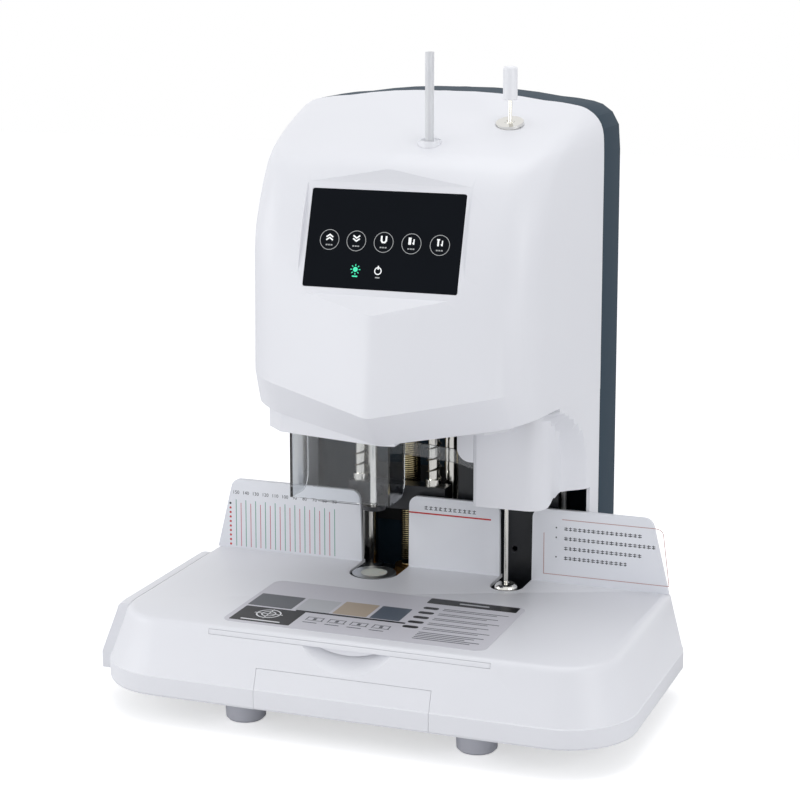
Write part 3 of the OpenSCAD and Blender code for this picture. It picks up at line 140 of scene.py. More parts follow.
def join_sockets(finish, shader, **outputs):
    """Links node outputs to the shader; Base_Color stands for Base Color."""
    for name, output in outputs.items():
        finish.node_tree.links.new(output, shader.inputs[name.replace("_", " ")])


def rolled_steel(name, colour, second, roughness, drag):
    """Rolled or plated sheet: long faint streaks, drag mm apart, in colour and gloss."""
    finish, shader = new_finish(name)
    shader.inputs["Metallic"].default_value = 1
    where = add(finish, "ShaderNodeTexCoord").outputs["Object"]
    stretched = add(finish, "ShaderNodeMapping", {"Vector": where, "Scale": (0.08, 1, 1)})
    streak = add(finish, "ShaderNodeTexNoise", {"Vector": stretched.outputs[0], "Scale": 1000 / drag, "Detail": 3})
    tone = add(finish, "ShaderNodeMix", {"Factor": streak.outputs["Fac"], "A": linear(colour), "B": linear(second)},
               data_type="RGBA")
    gloss = add(finish, "ShaderNodeMapRange", {"Value": streak.outputs["Fac"], "To Min": roughness - 0.06,
                                               "To Max": roughness + 0.08})
    join_sockets(finish, shader, Base_Color=tone.outputs["Result"], Roughness=gloss.outputs[0])
    return finish


def coat(finish, *nodes):
    """Gives solids of the frame their real finish."""
    for node in nodes:
        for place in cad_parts[node].material_slots:
            place.material = finish


# Zinc plate: cool, half-bright, with the streaks of the rolling mill.
zinc_plate = rolled_steel("zinc_plated_sheet", "#B9BDC2", "#9EA3AA", 0.34, 1.2)
coat(zinc_plate, "base_pan")


def moulded_rubber(name, colour, worn, grain):
    """Moulded rubber: matt, dusty on its high spots, with a fine pitted skin."""
    finish, shader = new_finish(name)
    shader.inputs["Roughness"].default_value = 0.72
    shader.inputs["IOR"].default_value = 1.52
    where = add(finish, "ShaderNodeTexCoord").outputs["Object"]
    dust = add(finish, "ShaderNodeTexNoise", {"Vector": where, "Scale": 90, "Detail": 4})
    tone = add(finish, "ShaderNodeMix", {"Factor": dust.outputs["Fac"], "A": linear(colour), "B": linear(worn)},
               data_type="RGBA")
    pits = add(finish, "ShaderNodeTexNoise", {"Vector": where, "Scale": 1000 / grain, "Detail": 2})
    skin = add(finish, "ShaderNodeBump", {"Height": pits.outputs["Fac"], "Strength": 0.3, "Distance": 0.00008})
    join_sockets(finish, shader, Base_Color=tone.outputs["Result"], Normal=skin.outputs[0])
    return finish


# Grey rubber of the feet: the photograph shows them as pale as the base's own shade.
foot_rubber = moulded_rubber("grey_foot_rubber", "#BEBFC8", "#C8C9D1", 0.9)
coat(foot_rubber, "feet")

# Screw steel: zinc plated and tumbled, brighter than the sheet.
screw_zinc = rolled_steel("bright_zinc_screws", "#D5D7DA", "#BFC2C7", 0.26, 0.5)
coat(screw_zinc, "foot_screws", "fence_screws", "guard_screws", "column_nuts")

# ---- Main frame ----
# A welded steel frame plate on legs and the top plate that ties the columns; both carriage plates
# and the rivet bracket are milled steel, sprayed with the same satin grey paint.


def sprayed_paint(name, colour, shade, roughness, peel):
    """Baked spray paint on steel: slight orange peel, peel mm across, under a satin skin."""
    finish, shader = new_finish(name)
    shader.inputs["Roughness"].default_value = roughness
    shader.inputs["IOR"].default_value = 1.5
    where = add(finish, "ShaderNodeTexCoord").outputs["Object"]
    cloud = add(finish, "ShaderNodeTexNoise", {"Vector": where, "Scale": 14, "Detail": 3})
    tone = add(finish, "ShaderNodeMix", {"Factor": cloud.outputs["Fac"], "A": linear(colour), "B": linear(shade)},
               data_type="RGBA")
    peels = add(finish, "ShaderNodeTexNoise", {"Vector": where, "Scale": 1000 / peel, "Detail": 1})
    skin = add(finish, "ShaderNodeBump", {"Height": peels.outputs["Fac"], "Strength": 0.16, "Distance": 0.00006})
    join_sockets(finish, shader, Base_Color=tone.outputs["Result"], Normal=skin.outputs[0])
    return finish


# Satin grey paint of hidden steelwork.
frame_paint = sprayed_paint("satin_grey_frame_paint", "#3A3F47", "#343941", 0.45, 1.4)
coat(frame_paint, "main_frame", "top_plate", "drill_carriage", "rivet_bracket", "rivet_carriage")

# ---- Guide columns, bearings and bushes ----
# Hardened and ground steel columns; sintered bronze bearings and bushes are pressed in the plates.


def ground_steel(name, colour, roughness, lay):
    """Ground or turned steel: a mirror with fine rings round it, lay mm apart along its axis."""
    finish, shader = new_finish(name)
    shader.inputs["Metallic"].default_value = 1
    shader.inputs["Base Color"].default_value = linear(colour)
    where = add(finish, "ShaderNodeTexCoord").outputs["Object"]
    rings = add(finish, "ShaderNodeMapping", {"Vector": where, "Scale": (0.05, 0.05, 1)})
    marks = add(finish, "ShaderNodeTexNoise", {"Vector": rings.outputs[0], "Scale": 1000 / lay, "Detail": 2})
    gloss = add(finish, "ShaderNodeMapRange", {"Value": marks.outputs["Fac"], "To Min": roughness * 0.6,
                                               "To Max": roughness * 1.5})
    skin = add(finish, "ShaderNodeBump", {"Height": marks.outputs["Fac"], "Strength": 0.08, "Distance": 0.00003})
    join_sockets(finish, shader, Roughness=gloss.outputs[0], Normal=skin.outputs[0])
    return finish


# Ground steel: nearly white, with the grinding lay round the bar.
column_steel = ground_steel("hard_ground_steel", "#D9D7D1", 0.13, 0.5)
coat(column_steel, "drill_columns", "rivet_columns", "ram_sleeve", "rivet_ram")


def sintered_bronze(name, colour, oiled):
    """Oil-filled bronze: a warm metal, dull where it holds oil in its pores."""
    finish, shader = new_finish(name)
    shader.inputs["Metallic"].default_value = 1
    where = add(finish, "ShaderNodeTexCoord").outputs["Object"]
    pores = add(finish, "ShaderNodeTexNoise", {"Vector": where, "Scale": 1400, "Detail": 2})
    tone = add(finish, "ShaderNodeMix", {"Factor": pores.outputs["Fac"], "A": linear(colour), "B": linear(oiled)},
               data_type="RGBA")
    gloss = add(finish, "ShaderNodeMapRange", {"Value": pores.outputs["Fac"], "To Min": 0.28, "To Max": 0.5})
    join_sockets(finish, shader, Base_Color=tone.outputs["Result"], Roughness=gloss.outputs[0])
    return finish


# Sintered bronze of bearings, bushes and nuts.
bush_bronze = sintered_bronze("sintered_bronze", "#B58A4C", "#9A7440")
coat(bush_bronze, "foot_bearings", "head_bearings", "drill_bushes", "drill_nut", "rivet_bushes", "rivet_nut")

# ---- Lead screws ----
# Rolled trapezoidal screws of 18 mm with four starts: 8 mm a turn, so their ridges lie 2 mm apart,
# leaning a little. Both turn in bronze bearings, and the journals at their ends are turned plain.
ROOT_R = 7.9 * MM
CREST_R = 9 * MM
THREAD_PITCH = 2 * MM
THREAD_STARTS = 4


def only(choose_vertex):
    """In edit mode's vertex selection, selects just the vertices that fit, by their place."""
    bpy.ops.object.mode_set(mode="OBJECT")
    mesh = bpy.context.object.data
    for face in mesh.polygons:
        face.select = False
    for edge in mesh.edges:
        edge.select = False
    for vertex in mesh.vertices:
        vertex.select = bool(choose_vertex(vertex.co))
    bpy.ops.object.mode_set(mode="EDIT")


def apply_place(piece):
    """Puts the piece's place, turn and size in its mesh."""
    bpy.ops.object.select_all(action="DESELECT")
    piece.select_set(True)
    bpy.context.view_layer.objects.active = piece
    bpy.ops.object.transform_apply(location=True, rotation=True, scale=True)


def apply_modifiers(piece):
    """Applies what finishes the piece, in order."""
    bpy.ops.object.select_all(action="DESELECT")
    piece.select_set(True)
    bpy.context.view_layer.objects.active = piece
    for modifier in list(piece.modifiers):
        bpy.ops.object.modifier_apply(modifier=modifier.name)


def merge_pieces(name, pieces):
    """Joins pieces that are one thing in the real object."""
    bpy.ops.object.select_all(action="DESELECT")
    for piece in pieces:
        piece.select_set(True)
    bpy.context.view_layer.objects.active = pieces[0]
    bpy.ops.object.join()
    pieces[0].name = name
    return pieces[0]


def smooth(piece, angle=35):
    """Smooth shading, with edges sharper than the angle left crisp."""
    bpy.ops.object.select_all(action="DESELECT")
    piece.select_set(True)
    bpy.context.view_layer.objects.active = piece
    bpy.ops.object.shade_smooth_by_angle(angle=math.radians(angle))


def journal(x, y, z0, z1, radius, chamfer):
    """A plain turned end with a chamfered rim."""
    bpy.ops.object.select_all(action="DESELECT")
    bpy.ops.mesh.primitive_cylinder_add(vertices=40, radius=radius, depth=z1 - z0, location=(x, y, (z0 + z1) / 2))
    made = bpy.context.object
    apply_place(made)
    rim = made.modifiers.new("chamfer", "BEVEL")
    rim.width = chamfer
    rim.segments = 2
    rim.limit_method = "ANGLE"
    apply_modifiers(made)
    return made


def rolled_thread(x, y, z0, z1):
    """One ridge drawn from a plane's edge, repeated for each start and swept up the screw."""
    bpy.ops.object.select_all(action="DESELECT")
    bpy.ops.mesh.primitive_plane_add(size=THREAD_PITCH, location=(0, 0, 0))
    made = bpy.context.object
    bpy.ops.object.mode_set(mode="EDIT")
    bpy.ops.mesh.select_all(action="SELECT")
    # the plane stands up in XZ: its left edge becomes the root, its right edge the crest
    bpy.ops.transform.rotate(value=math.radians(90), orient_axis="X", center_override=(0, 0, 0))
    bpy.ops.mesh.delete(type="ONLY_FACE")
    only(lambda co: co.x < 0)
    bpy.ops.transform.translate(value=(ROOT_R + THREAD_PITCH / 2, 0, 0))
    only(lambda co: co.x < CREST_R and co.x < THREAD_PITCH)
    bpy.ops.transform.resize(value=(0, 1, 0.4), center_override=(CREST_R, 0, 0))
    # the root edge goes; the two flanks and the crest stay
    only(lambda co: abs(co.x - ROOT_R) < 1e-6)
    bpy.ops.mesh.delete(type="EDGE")
    bpy.ops.object.mode_set(mode="OBJECT")
    starts = made.modifiers.new("starts", "ARRAY")
    starts.use_relative_offset = False
    starts.use_constant_offset = True
    starts.constant_offset_displace = (0, 0, THREAD_PITCH)
    starts.count = THREAD_STARTS
    starts.use_merge_vertices = True
    starts.merge_threshold = 0.02 * MM
    apply_modifiers(made)
    sweep = made.modifiers.new("sweep", "SCREW")
    sweep.axis = "Z"
    sweep.angle = math.radians(360)
    sweep.screw_offset = THREAD_PITCH * THREAD_STARTS
    sweep.iterations = int((z1 - z0) / (THREAD_PITCH * THREAD_STARTS)) - 1
    sweep.steps = 24
    sweep.render_steps = 24
    sweep.use_merge_vertices = True
    sweep.merge_threshold = 0.02 * MM
    apply_modifiers(made)
    made.location = (x, y, z0 + THREAD_PITCH / 2)
    apply_place(made)
    bpy.ops.object.mode_set(mode="EDIT")
    bpy.ops.mesh.select_all(action="SELECT")
    bpy.ops.mesh.remove_doubles(threshold=0.01 * MM)
    bpy.ops.mesh.normals_make_consistent(inside=False)
    bpy.ops.object.mode_set(mode="OBJECT")
    return made




def rolled_bronze(name, colour, greased, gloss_low, gloss_high):
    """Rolled bronze with a film of grease that lies in patches."""
    finish, shader = new_finish(name)
    shader.inputs["Metallic"].default_value = 1
    where = add(finish, "ShaderNodeTexCoord").outputs["Object"]
    grease = add(finish, "ShaderNodeTexNoise", {"Vector": where, "Scale": 260, "Detail": 3})
    tone = add(finish, "ShaderNodeMix", {"Factor": grease.outputs["Fac"], "A": linear(colour), "B": linear(greased)},
               data_type="RGBA")
    gloss = add(finish, "ShaderNodeMapRange", {"Value": grease.outputs["Fac"], "To Min": gloss_low,
                                               "To Max": gloss_high})
    join_sockets(finish, shader, Base_Color=tone.outputs["Result"], Roughness=gloss.outputs[0])
    return finish


# The crests are bright yellow metal, worn by the nut; the grooves are painted dark, a painted shade for the shade that
# falls in them.
crest_bronze = rolled_bronze("bright_crest_bronze", "#D8C9A0", "#B5A274", 0.16, 0.34)
shaded_groove_bronze = rolled_bronze("painted_shade_groove_bronze", "#3A3222", "#221D14", 0.3, 0.5)

for node, body in (("drill_screw", "drill_lead_screw"), ("rivet_screw", "rivet_lead_screw")):
    low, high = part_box(node)
    screw_x, screw_y = (low[0] + high[0]) / 2, (low[1] + high[1]) / 2
    thread_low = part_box("foot_bearings")[1][2] + 0.6 * MM
    thread_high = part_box("head_bearings")[0][2] - 0.6 * MM
    thread = rolled_thread(screw_x, screw_y, thread_low, thread_high)
    top = max(v.co.z for v in thread.data.vertices)
    lead_screw = merge_pieces(node + "_thread", [
        thread,
        journal(screw_x, screw_y, low[2], thread_low + 1.2 * MM, 5 * MM, 0.4 * MM),
        journal(screw_x, screw_y, thread_low, thread_low + 1.5 * MM, CREST_R - 0.2 * MM, 0.5 * MM),
        journal(screw_x, screw_y, top - 3 * MM, thread_high, CREST_R - 0.2 * MM, 0.5 * MM),
        journal(screw_x, screw_y, thread_high - MM, high[2], 4 * MM, 0.4 * MM)])
    smooth(lead_screw, 40)
    lead_screw.data.materials.clear()
    lead_screw.data.materials.append(crest_bronze)
    lead_screw.data.materials.append(shaded_groove_bronze)
    # faces down in the grooves take the dark bronze: painted shade
    for face in lead_screw.data.polygons:
        in_thread = thread_low < face.center.z < thread_high
        out = math.hypot(face.center.x - screw_x, face.center.y - screw_y)
        face.material_index = 1 if in_thread and out < (ROOT_R + CREST_R) / 2 + 0.15 * MM else 0
    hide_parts(node)
    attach(lead_screw, body)

# ---- Motors, pulleys and belt ----
# Two lift motors with laminated bodies stand on the top plate; the spindle motor hangs under the
# drill carriage and turns the spindle by a toothed belt.


def stamped_steel(name, colour, edge, stack):
    """Enamelled motor body: sheets of the stack show as fine lines, stack mm apart."""
    finish, shader = new_finish(name)
    shader.inputs["Roughness"].default_value = 0.4
    shader.inputs["Metallic"].default_value = 0.2
    where = add(finish, "ShaderNodeTexCoord").outputs["Object"]
    sheets = add(finish, "ShaderNodeTexWave", {"Vector": where, "Scale": 1000 / stack / 6.2832, "Distortion": 0.2},
                 bands_direction="Z")
    tone = add(finish, "ShaderNodeMix", {"Factor": sheets.outputs["Fac"], "A": linear(colour), "B": linear(edge)},
               data_type="RGBA")
    skin = add(finish, "ShaderNodeBump", {"Height": sheets.outputs["Fac"], "Strength": 0.2, "Distance": 0.0001})
    join_sockets(finish, shader, Base_Color=tone.outputs["Result"], Normal=skin.outputs[0])
    return finish


# Black enamel over the laminations.
motor_enamel = stamped_steel("black_motor_enamel", "#17181B", "#24262B", 1.0)
coat(motor_enamel, "drill_lift_motor", "rivet_lift_motor", "spindle_motor")

# Cast and turned aluminium: pale, with a soft sheen from the tool.
turned_alloy = rolled_steel("turned_aluminium", "#C6C8CB", "#B4B7BB", 0.32, 0.8)
coat(turned_alloy, "spindle_housing", "motor_pulley", "pad_holder", "lower_heater")

# Toothed belt: black rubber with a cloth face.
belt_rubber = moulded_rubber("black_belt_rubber", "#17181A", "#222427", 0.6)
coat(belt_rubber, "drive_belt")

# Tool steel, hard chromed: the drill, spindle, rivet heads and the ring round the guide rod.
tool_chrome = ground_steel("hard_chromed_tool_steel", "#DEDDD9", 0.08, 0.4)
coat(tool_chrome, "spindle", "hollow_drill", "upper_rivet_head", "lower_rivet_head", "rod_escutcheon")

# The pad that the drill cuts into: milky polypropylene.
pad_plastic, pad_shader = new_finish("milky_cutting_pad")
pad_shader.inputs["Roughness"].default_value = 0.5
pad_shader.inputs["Subsurface Weight"].default_value = 0.15
pad_where = add(pad_plastic, "ShaderNodeTexCoord").outputs["Object"]
pad_marks = add(pad_plastic, "ShaderNodeTexNoise", {"Vector": pad_where, "Scale": 500, "Detail": 4})
pad_tone = add(pad_plastic, "ShaderNodeMix", {"Factor": pad_marks.outputs["Fac"], "A": linear("#E4E2DA"),
                                              "B": linear("#D2CFC4")}, data_type="RGBA")
join_sockets(pad_plastic, pad_shader, Base_Color=pad_tone.outputs["Result"])
coat(pad_plastic, "cutting_pad")

# Circuit boards: green solder mask with the faint relief of its tracks.
solder_mask, mask_shader = new_finish("green_solder_mask")
mask_shader.inputs["Roughness"].default_value = 0.3
mask_where = add(solder_mask, "ShaderNodeTexCoord").outputs["Object"]
tracks = add(solder_mask, "ShaderNodeTexBrick", {"Vector": mask_where, "Color1": linear("#14502F"),
                                                 "Color2": linear("#1A5E38"), "Mortar": linear("#0F3F25"),
                                                 "Scale": 120, "Mortar Size": 0.03})
join_sockets(solder_mask, mask_shader, Base_Color=tracks.outputs["Color"])
coat(solder_mask, "control_board", "touch_board")

# ---- Presser: beam, sprung rods and springs ----
# A folded beam, painted black, whose foot presses on the stack before the drill enters. It hangs on
# two ground rods, and each rod carries a round wire spring between its collar and the carriage.
beam_paint = sprayed_paint("black_beam_paint", "#15171B", "#1C1F24", 0.32, 1.2)
coat(beam_paint, "presser_beam")
coat(column_steel, "spring_rods")

# Oil-tempered music wire: dark against the bright rods inside it.
spring_wire = ground_steel("oil_tempered_music_wire", "#6A645A", 0.22, 0.6)
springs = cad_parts["presser_springs"].copy()
springs.data = springs.data.copy()
springs.name = "presser_spring_wires"
springs.parent = None
bpy.context.scene.collection.objects.link(springs)
bpy.ops.object.select_all(action="DESELECT")
springs.select_set(True)
bpy.context.view_layer.objects.active = springs
bpy.ops.object.mode_set(mode="EDIT")
bpy.ops.mesh.select_all(action="SELECT")
bpy.ops.mesh.remove_doubles(threshold=0.002 * MM)
bpy.ops.object.mode_set(mode="OBJECT")
bpy.ops.mesh.customdata_custom_splitnormals_clear()
smooth(springs, 70)
springs.data.materials.clear()
springs.data.materials.append(spring_wire)
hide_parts("presser_springs")
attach(springs, "drill_slide")
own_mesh(springs)

# ---- Rear shield ----
# A plate behind the working space that hides the drives, painted black inside and out.
coat(beam_paint, "rear_shield")

# ---- Base cover, side cover and board ----
# The table is one drafted moulding of white ABS with a scoop for the fingers above the board; the
# left side cover closes it, and the board slides out of a slot in its front on two rails.


def moulded_abs(name, colour, shade, roughness, grain):
    """Moulded ABS: one even colour with a faint drift, and a spark-eroded grain, grain mm across.
    The real grain is 0.05 mm; it is drawn coarser so that it shows."""
    finish, shader = new_finish(name)
    shader.inputs["IOR"].default_value = 1.54
    where = add(finish, "ShaderNodeTexCoord").outputs["Object"]
    drift = add(finish, "ShaderNodeTexNoise", {"Vector": where, "Scale": 9, "Detail": 2})
    tone = add(finish, "ShaderNodeMix", {"Factor": drift.outputs["Fac"], "A": linear(colour), "B": linear(shade)},
               data_type="RGBA")
    spark = add(finish, "ShaderNodeTexNoise", {"Vector": where, "Scale": 1000 / grain, "Detail": 2})
    gloss = add(finish, "ShaderNodeMapRange", {"Value": spark.outputs["Fac"], "To Min": roughness - 0.04,
                                               "To Max": roughness + 0.06})
    skin = add(finish, "ShaderNodeBump", {"Height": spark.outputs["Fac"], "Strength": 0.12, "Distance": 0.00003})
    join_sockets(finish, shader, Base_Color=tone.outputs["Result"], Roughness=gloss.outputs[0],
                 Normal=skin.outputs[0])
    return finish


# White ABS: cool white, half gloss.
white_abs = moulded_abs("white_moulded_abs", "#E5E6EA", "#E1E2E7", 0.4, 0.7)


def smooth_shell(node, name, finish, body, round_edge=0.0, crease=32, sharp=24):
    """A merged copy of a moulding stands for its solid. Its real edges get a small round, as a
    mould leaves them, and what lies between them is shaded as one soft surface."""
    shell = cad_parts[node].copy()
    shell.data = shell.data.copy()
    shell.name = name
    shell.parent = None
    bpy.context.scene.collection.objects.link(shell)
    bpy.ops.object.select_all(action="DESELECT")
    shell.select_set(True)
    bpy.context.view_layer.objects.active = shell
    bpy.ops.object.mode_set(mode="EDIT")
    bpy.ops.mesh.select_all(action="SELECT")
    bpy.ops.mesh.remove_doubles(threshold=0.004 * MM)
    bpy.ops.mesh.dissolve_limited(angle_limit=math.radians(0.6))
    bpy.ops.object.mode_set(mode="OBJECT")
    bpy.ops.mesh.customdata_custom_splitnormals_clear()
    if round_edge:
        edge = shell.modifiers.new("mould_round", "BEVEL")
        edge.width = round_edge
        edge.segments = 2
        edge.limit_method = "ANGLE"
        edge.angle_limit = math.radians(crease)
        edge.miter_outer = "MITER_ARC"
        edge.use_clamp_overlap = True
        apply_modifiers(shell)
    smooth(shell, sharp)
    shell.data.materials.clear()
    shell.data.materials.append(finish)
    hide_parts(node)
    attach(shell, body)
    return shell


smooth_shell("base_cover", "base_moulding", white_abs, "base", sharp=30)
smooth_shell("side_cover", "side_moulding", white_abs, "base", sharp=30)
coat(white_abs, "support_board", "board_rails")

# The moulding's back is closed beside the column by two walls, each a plane that is stood up,
# given its thickness and rounded along its edges; their rims seat in the moulding's end faces.
REAR_WALL = 2.5 * MM
REAR_CORNER = 20 * MM
SEAT = 1.5 * MM
base_low, base_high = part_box("base_cover")
column_low, column_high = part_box("back_cover")
wall_low, wall_high = base_low[2], base_high[2] - SEAT
for side, column_x, end_x in ((1, column_low[0], base_low[0]), (-1, column_high[0], base_high[0])):
    inner_x = column_x + side * 8 * MM
    outer_x = end_x + side * (REAR_CORNER - SEAT)
    bpy.ops.object.select_all(action="DESELECT")
    bpy.ops.mesh.primitive_plane_add(size=1, rotation=(math.radians(90), 0, 0),
                                     location=((inner_x + outer_x) / 2, base_high[1] - 0.3 * MM,
                                               (wall_low + wall_high) / 2))
    rear_wall = bpy.context.object
    rear_wall.name = "left_rear_wall" if side > 0 else "right_rear_wall"
    rear_wall.scale = (abs(outer_x - inner_x), wall_high - wall_low, 1)
    apply_place(rear_wall)
    bpy.ops.object.mode_set(mode="EDIT")
    bpy.ops.mesh.select_all(action="SELECT")
    bpy.ops.mesh.extrude_region_move(TRANSFORM_OT_translate={"value": (0, -REAR_WALL, 0)})
    bpy.ops.mesh.select_all(action="SELECT")
    bpy.ops.mesh.normals_make_consistent(inside=False)
    bpy.ops.mesh.bevel(offset=0.3 * MM, segments=2)
    bpy.ops.object.mode_set(mode="OBJECT")
    rear_wall.data.materials.append(white_abs)
    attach(rear_wall, "base")

# ---- Chip drawer ----
# The chips from the drill fall into this drawer; its front plate carries on the table's skirt.
smooth_shell("chip_drawer", "drawer_moulding", white_abs, "drawer", sharp=30)

# ---- Instruction plate ----
# A grey polycarbonate label with round corners, 0.3 mm thick, pressed on the table in front of the
# stack. Its tiles and bars are screen printed, here without words.
TABLE_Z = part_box("paper_fence")[0][2]
SHIFT = Vector((5 * MM, -4.5 * MM, 0))


def plate(name, x0, x1, y0, y1, low, thick, corner, finish, steps=5):
    """A flat plate with round corners, from a plane that is rounded, then extruded up."""
    bpy.ops.object.select_all(action="DESELECT")
    bpy.ops.mesh.primitive_plane_add(size=1, location=((x0 + x1) / 2, (y0 + y1) / 2, low))
    made = bpy.context.object
    made.name = name
    made.scale = (x1 - x0, y1 - y0, 1)
    apply_place(made)
    bpy.ops.object.mode_set(mode="EDIT")
    bpy.ops.mesh.select_all(action="SELECT")
    if corner:
        bpy.ops.mesh.bevel(offset=corner, segments=steps, affect="VERTICES")
        bpy.ops.mesh.select_all(action="SELECT")
    bpy.ops.mesh.extrude_region_move(TRANSFORM_OT_translate={"value": (0, 0, thick)})
    bpy.ops.mesh.select_all(action="SELECT")
    bpy.ops.mesh.normals_make_consistent(inside=False)
    bpy.ops.object.mode_set(mode="OBJECT")
    made.data.materials.append(finish)
    return made


def printed_film(name, colour, roughness):
    """Screen-printed film: flat ink whose weave of the screen shows as a faint 0.3 mm mesh."""
    finish, shader = new_finish(name)
    shader.inputs["Roughness"].default_value = roughness
    shader.inputs["Specular IOR Level"].default_value = 0.15
    where = add(finish, "ShaderNodeTexCoord").outputs["Object"]
    ink = add(finish, "ShaderNodeTexNoise", {"Vector": where, "Scale": 3300, "Detail": 1})
    dark = [c * 0.88 for c in linear(colour)[:3]] + [1]
    tone = add(finish, "ShaderNodeMix", {"Factor": ink.outputs["Fac"], "A": linear(colour), "B": dark},
               data_type="RGBA")
    join_sockets(finish, shader, Base_Color=tone.outputs["Result"])
    return finish


# Films of the label: silver grey ground, black and grey tiles, pale inks.
film_silver = printed_film("silver_grey_film", "#D2D1D8", 0.38)
film_black = printed_film("black_film", "#1D1E21", 0.34)
film_grey = printed_film("mid_grey_film", "#63666B", 0.38)
film_pale = printed_film("pale_grey_film", "#BFC1C5", 0.38)
film_white = printed_film("white_ink", "#E9EAEC", 0.4)
film_blue = printed_film("slate_blue_film", "#5D6672", 0.38)
film_sand = printed_film("sand_film", "#B7A896", 0.38)

label_pieces = [plate("label", -121 * MM, 113.5 * MM, -124 * MM, -5 * MM, 0, 0.3 * MM, 9 * MM, film_silver, 8)]
# tile with the ring mark, and the tiles of the picture row behind it
tile_rows = [(-116, -61, -119, -81, film_black), (-117, -76, -78, -45, film_grey), (-73, -42, -78, -45, film_pale),
             (-39, -8, -76, -42, film_sand), (-5, 22, -76, -42, film_blue), (-71, 29, -81, -77.5, film_black),
             (27, 108, -21, -7, film_black)]
for x0, x1, y0, y1, ink in tile_rows:
    label_pieces.append(plate("tile", x0 * MM, x1 * MM, y0 * MM, y1 * MM, 0.3 * MM, 0.06 * MM, 1.2 * MM, ink, 3))
# four step pictures: grey outlines of a stack and a foot
for i in range(4):
    x0 = -54 + i * 20
    for a, b, c, d in ((0, 14, -92, -91), (2, 16, -100, -99), (0, 1, -100, -91), (14, 15, -100, -91), (6, 9, -98, -93)):
        label_pieces.append(plate("outline", (x0 + a) * MM, (x0 + b) * MM, c * MM, d * MM, 0.3 * MM, 0.05 * MM, 0,
                                  film_grey))
    label_pieces.append(plate("caption_bar", x0 * MM, (x0 + 13) * MM, -106 * MM, -104.4 * MM, 0.3 * MM, 0.05 * MM,
                              0.5 * MM, film_grey, 2))
# block on the right: keys and bars in five rows, a plain block of lines under them
for i in range(5):
    y0 = -31 - i * 13
    label_pieces.append(plate("key_mark", 29 * MM, 43 * MM, (y0 - 6) * MM, y0 * MM, 0.3 * MM, 0.05 * MM, 2.8 * MM,
                              film_black, 4))
    for k, length in enumerate((58, 49)):
        label_pieces.append(plate("line_bar", 47 * MM, (47 + length - 5 * (i % 2)) * MM, (y0 - 2 - 3.6 * k) * MM,
                                  (y0 - 0.6 - 3.6 * k) * MM, 0.3 * MM, 0.05 * MM, 0.4 * MM, film_grey, 2))
for k in range(5):
    label_pieces.append(plate("line_bar", 47 * MM, (104 - 7 * (k % 3)) * MM, (-97 - 4 * k) * MM, (-95.4 - 4 * k) * MM,
                              0.3 * MM, 0.05 * MM, 0.4 * MM, film_grey, 2))


def ring(name, x, y, low, radius, width, thick, finish, sides=40):
    """A printed ring: a circle's edge, extruded inwards and then raised."""
    bpy.ops.object.select_all(action="DESELECT")
    bpy.ops.mesh.primitive_circle_add(vertices=sides, radius=radius, fill_type="NOTHING", location=(x, y, low))
    made = bpy.context.object
    made.name = name
    apply_place(made)
    bpy.ops.object.mode_set(mode="EDIT")
    bpy.ops.mesh.select_all(action="SELECT")
    bpy.ops.mesh.extrude_edges_move(TRANSFORM_OT_translate={"value": (0, 0, 0)})
    inner = (radius - width) / radius
    bpy.ops.transform.resize(value=(inner, inner, 1), center_override=(x, y, low))
    bpy.ops.mesh.select_all(action="SELECT")
    bpy.ops.mesh.extrude_region_move(TRANSFORM_OT_translate={"value": (0, 0, thick)})
    bpy.ops.mesh.select_all(action="SELECT")
    bpy.ops.mesh.normals_make_consistent(inside=False)
    bpy.ops.object.mode_set(mode="OBJECT")
    made.data.materials.append(finish)
    return made


# white rings and a bar across, in the black tile
label_pieces.append(ring("target_ring", -89 * MM, -96 * MM, 0.36 * MM, 11 * MM, 1.4 * MM, 0.05 * MM, film_white))
label_pieces.append(ring("target_ring", -89 * MM, -96 * MM, 0.36 * MM, 6.5 * MM, 1.2 * MM, 0.05 * MM, film_white))
label_pieces.append(plate("target_bar", -102 * MM, -76 * MM, -96.6 * MM, -95.4 * MM, 0.36 * MM, 0.05 * MM, 0.3 * MM,
                          film_white, 2))
label_pieces.append(plate("target_bar", -89.6 * MM, -88.4 * MM, -108 * MM, -84 * MM, 0.36 * MM, 0.05 * MM, 0.3 * MM,
                          film_white, 2))
label_pieces.append(plate("caption_bar", -107 * MM, -71 * MM, -115.4 * MM, -113 * MM, 0.36 * MM, 0.05 * MM,
                          0.8 * MM, film_white, 2))
label_pieces.append(plate("caption_bar", 55 * MM, 82 * MM, -15.4 * MM, -12.6 * MM, 0.36 * MM, 0.05 * MM, 0.8 * MM,
                          film_pale, 2))
label = merge_pieces("instruction_plate", label_pieces)
label.location = SHIFT + Vector((0, 0, TABLE_Z + 0.02 * MM))
apply_place(label)
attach(label, "base")

# ---- Paper fence with its ruler ----
# Powder coated steel, 4 mm, in three uprights that stop the stack at the back. The left one has
# a printed ruler: a line every 10 mm, counted from the drill, and a number at each second line.


def powder_coat(name, colour, shade):
    """Baked powder on steel: even colour, soft gloss and a 1.5 mm orange peel."""
    finish, shader = new_finish(name)
    shader.inputs["Roughness"].default_value = 0.36
    shader.inputs["IOR"].default_value = 1.5
    where = add(finish, "ShaderNodeTexCoord").outputs["Object"]
    drift = add(finish, "ShaderNodeTexNoise", {"Vector": where, "Scale": 12, "Detail": 2})
    tone = add(finish, "ShaderNodeMix", {"Factor": drift.outputs["Fac"], "A": linear(colour), "B": linear(shade)},
               data_type="RGBA")
    peel = add(finish, "ShaderNodeTexNoise", {"Vector": where, "Scale": 1000 / 1.5, "Detail": 1})
    skin = add(finish, "ShaderNodeBump", {"Height": peel.outputs["Fac"], "Strength": 0.1, "Distance": 0.00005})
    join_sockets(finish, shader, Base_Color=tone.outputs["Result"], Normal=skin.outputs[0])
    return finish


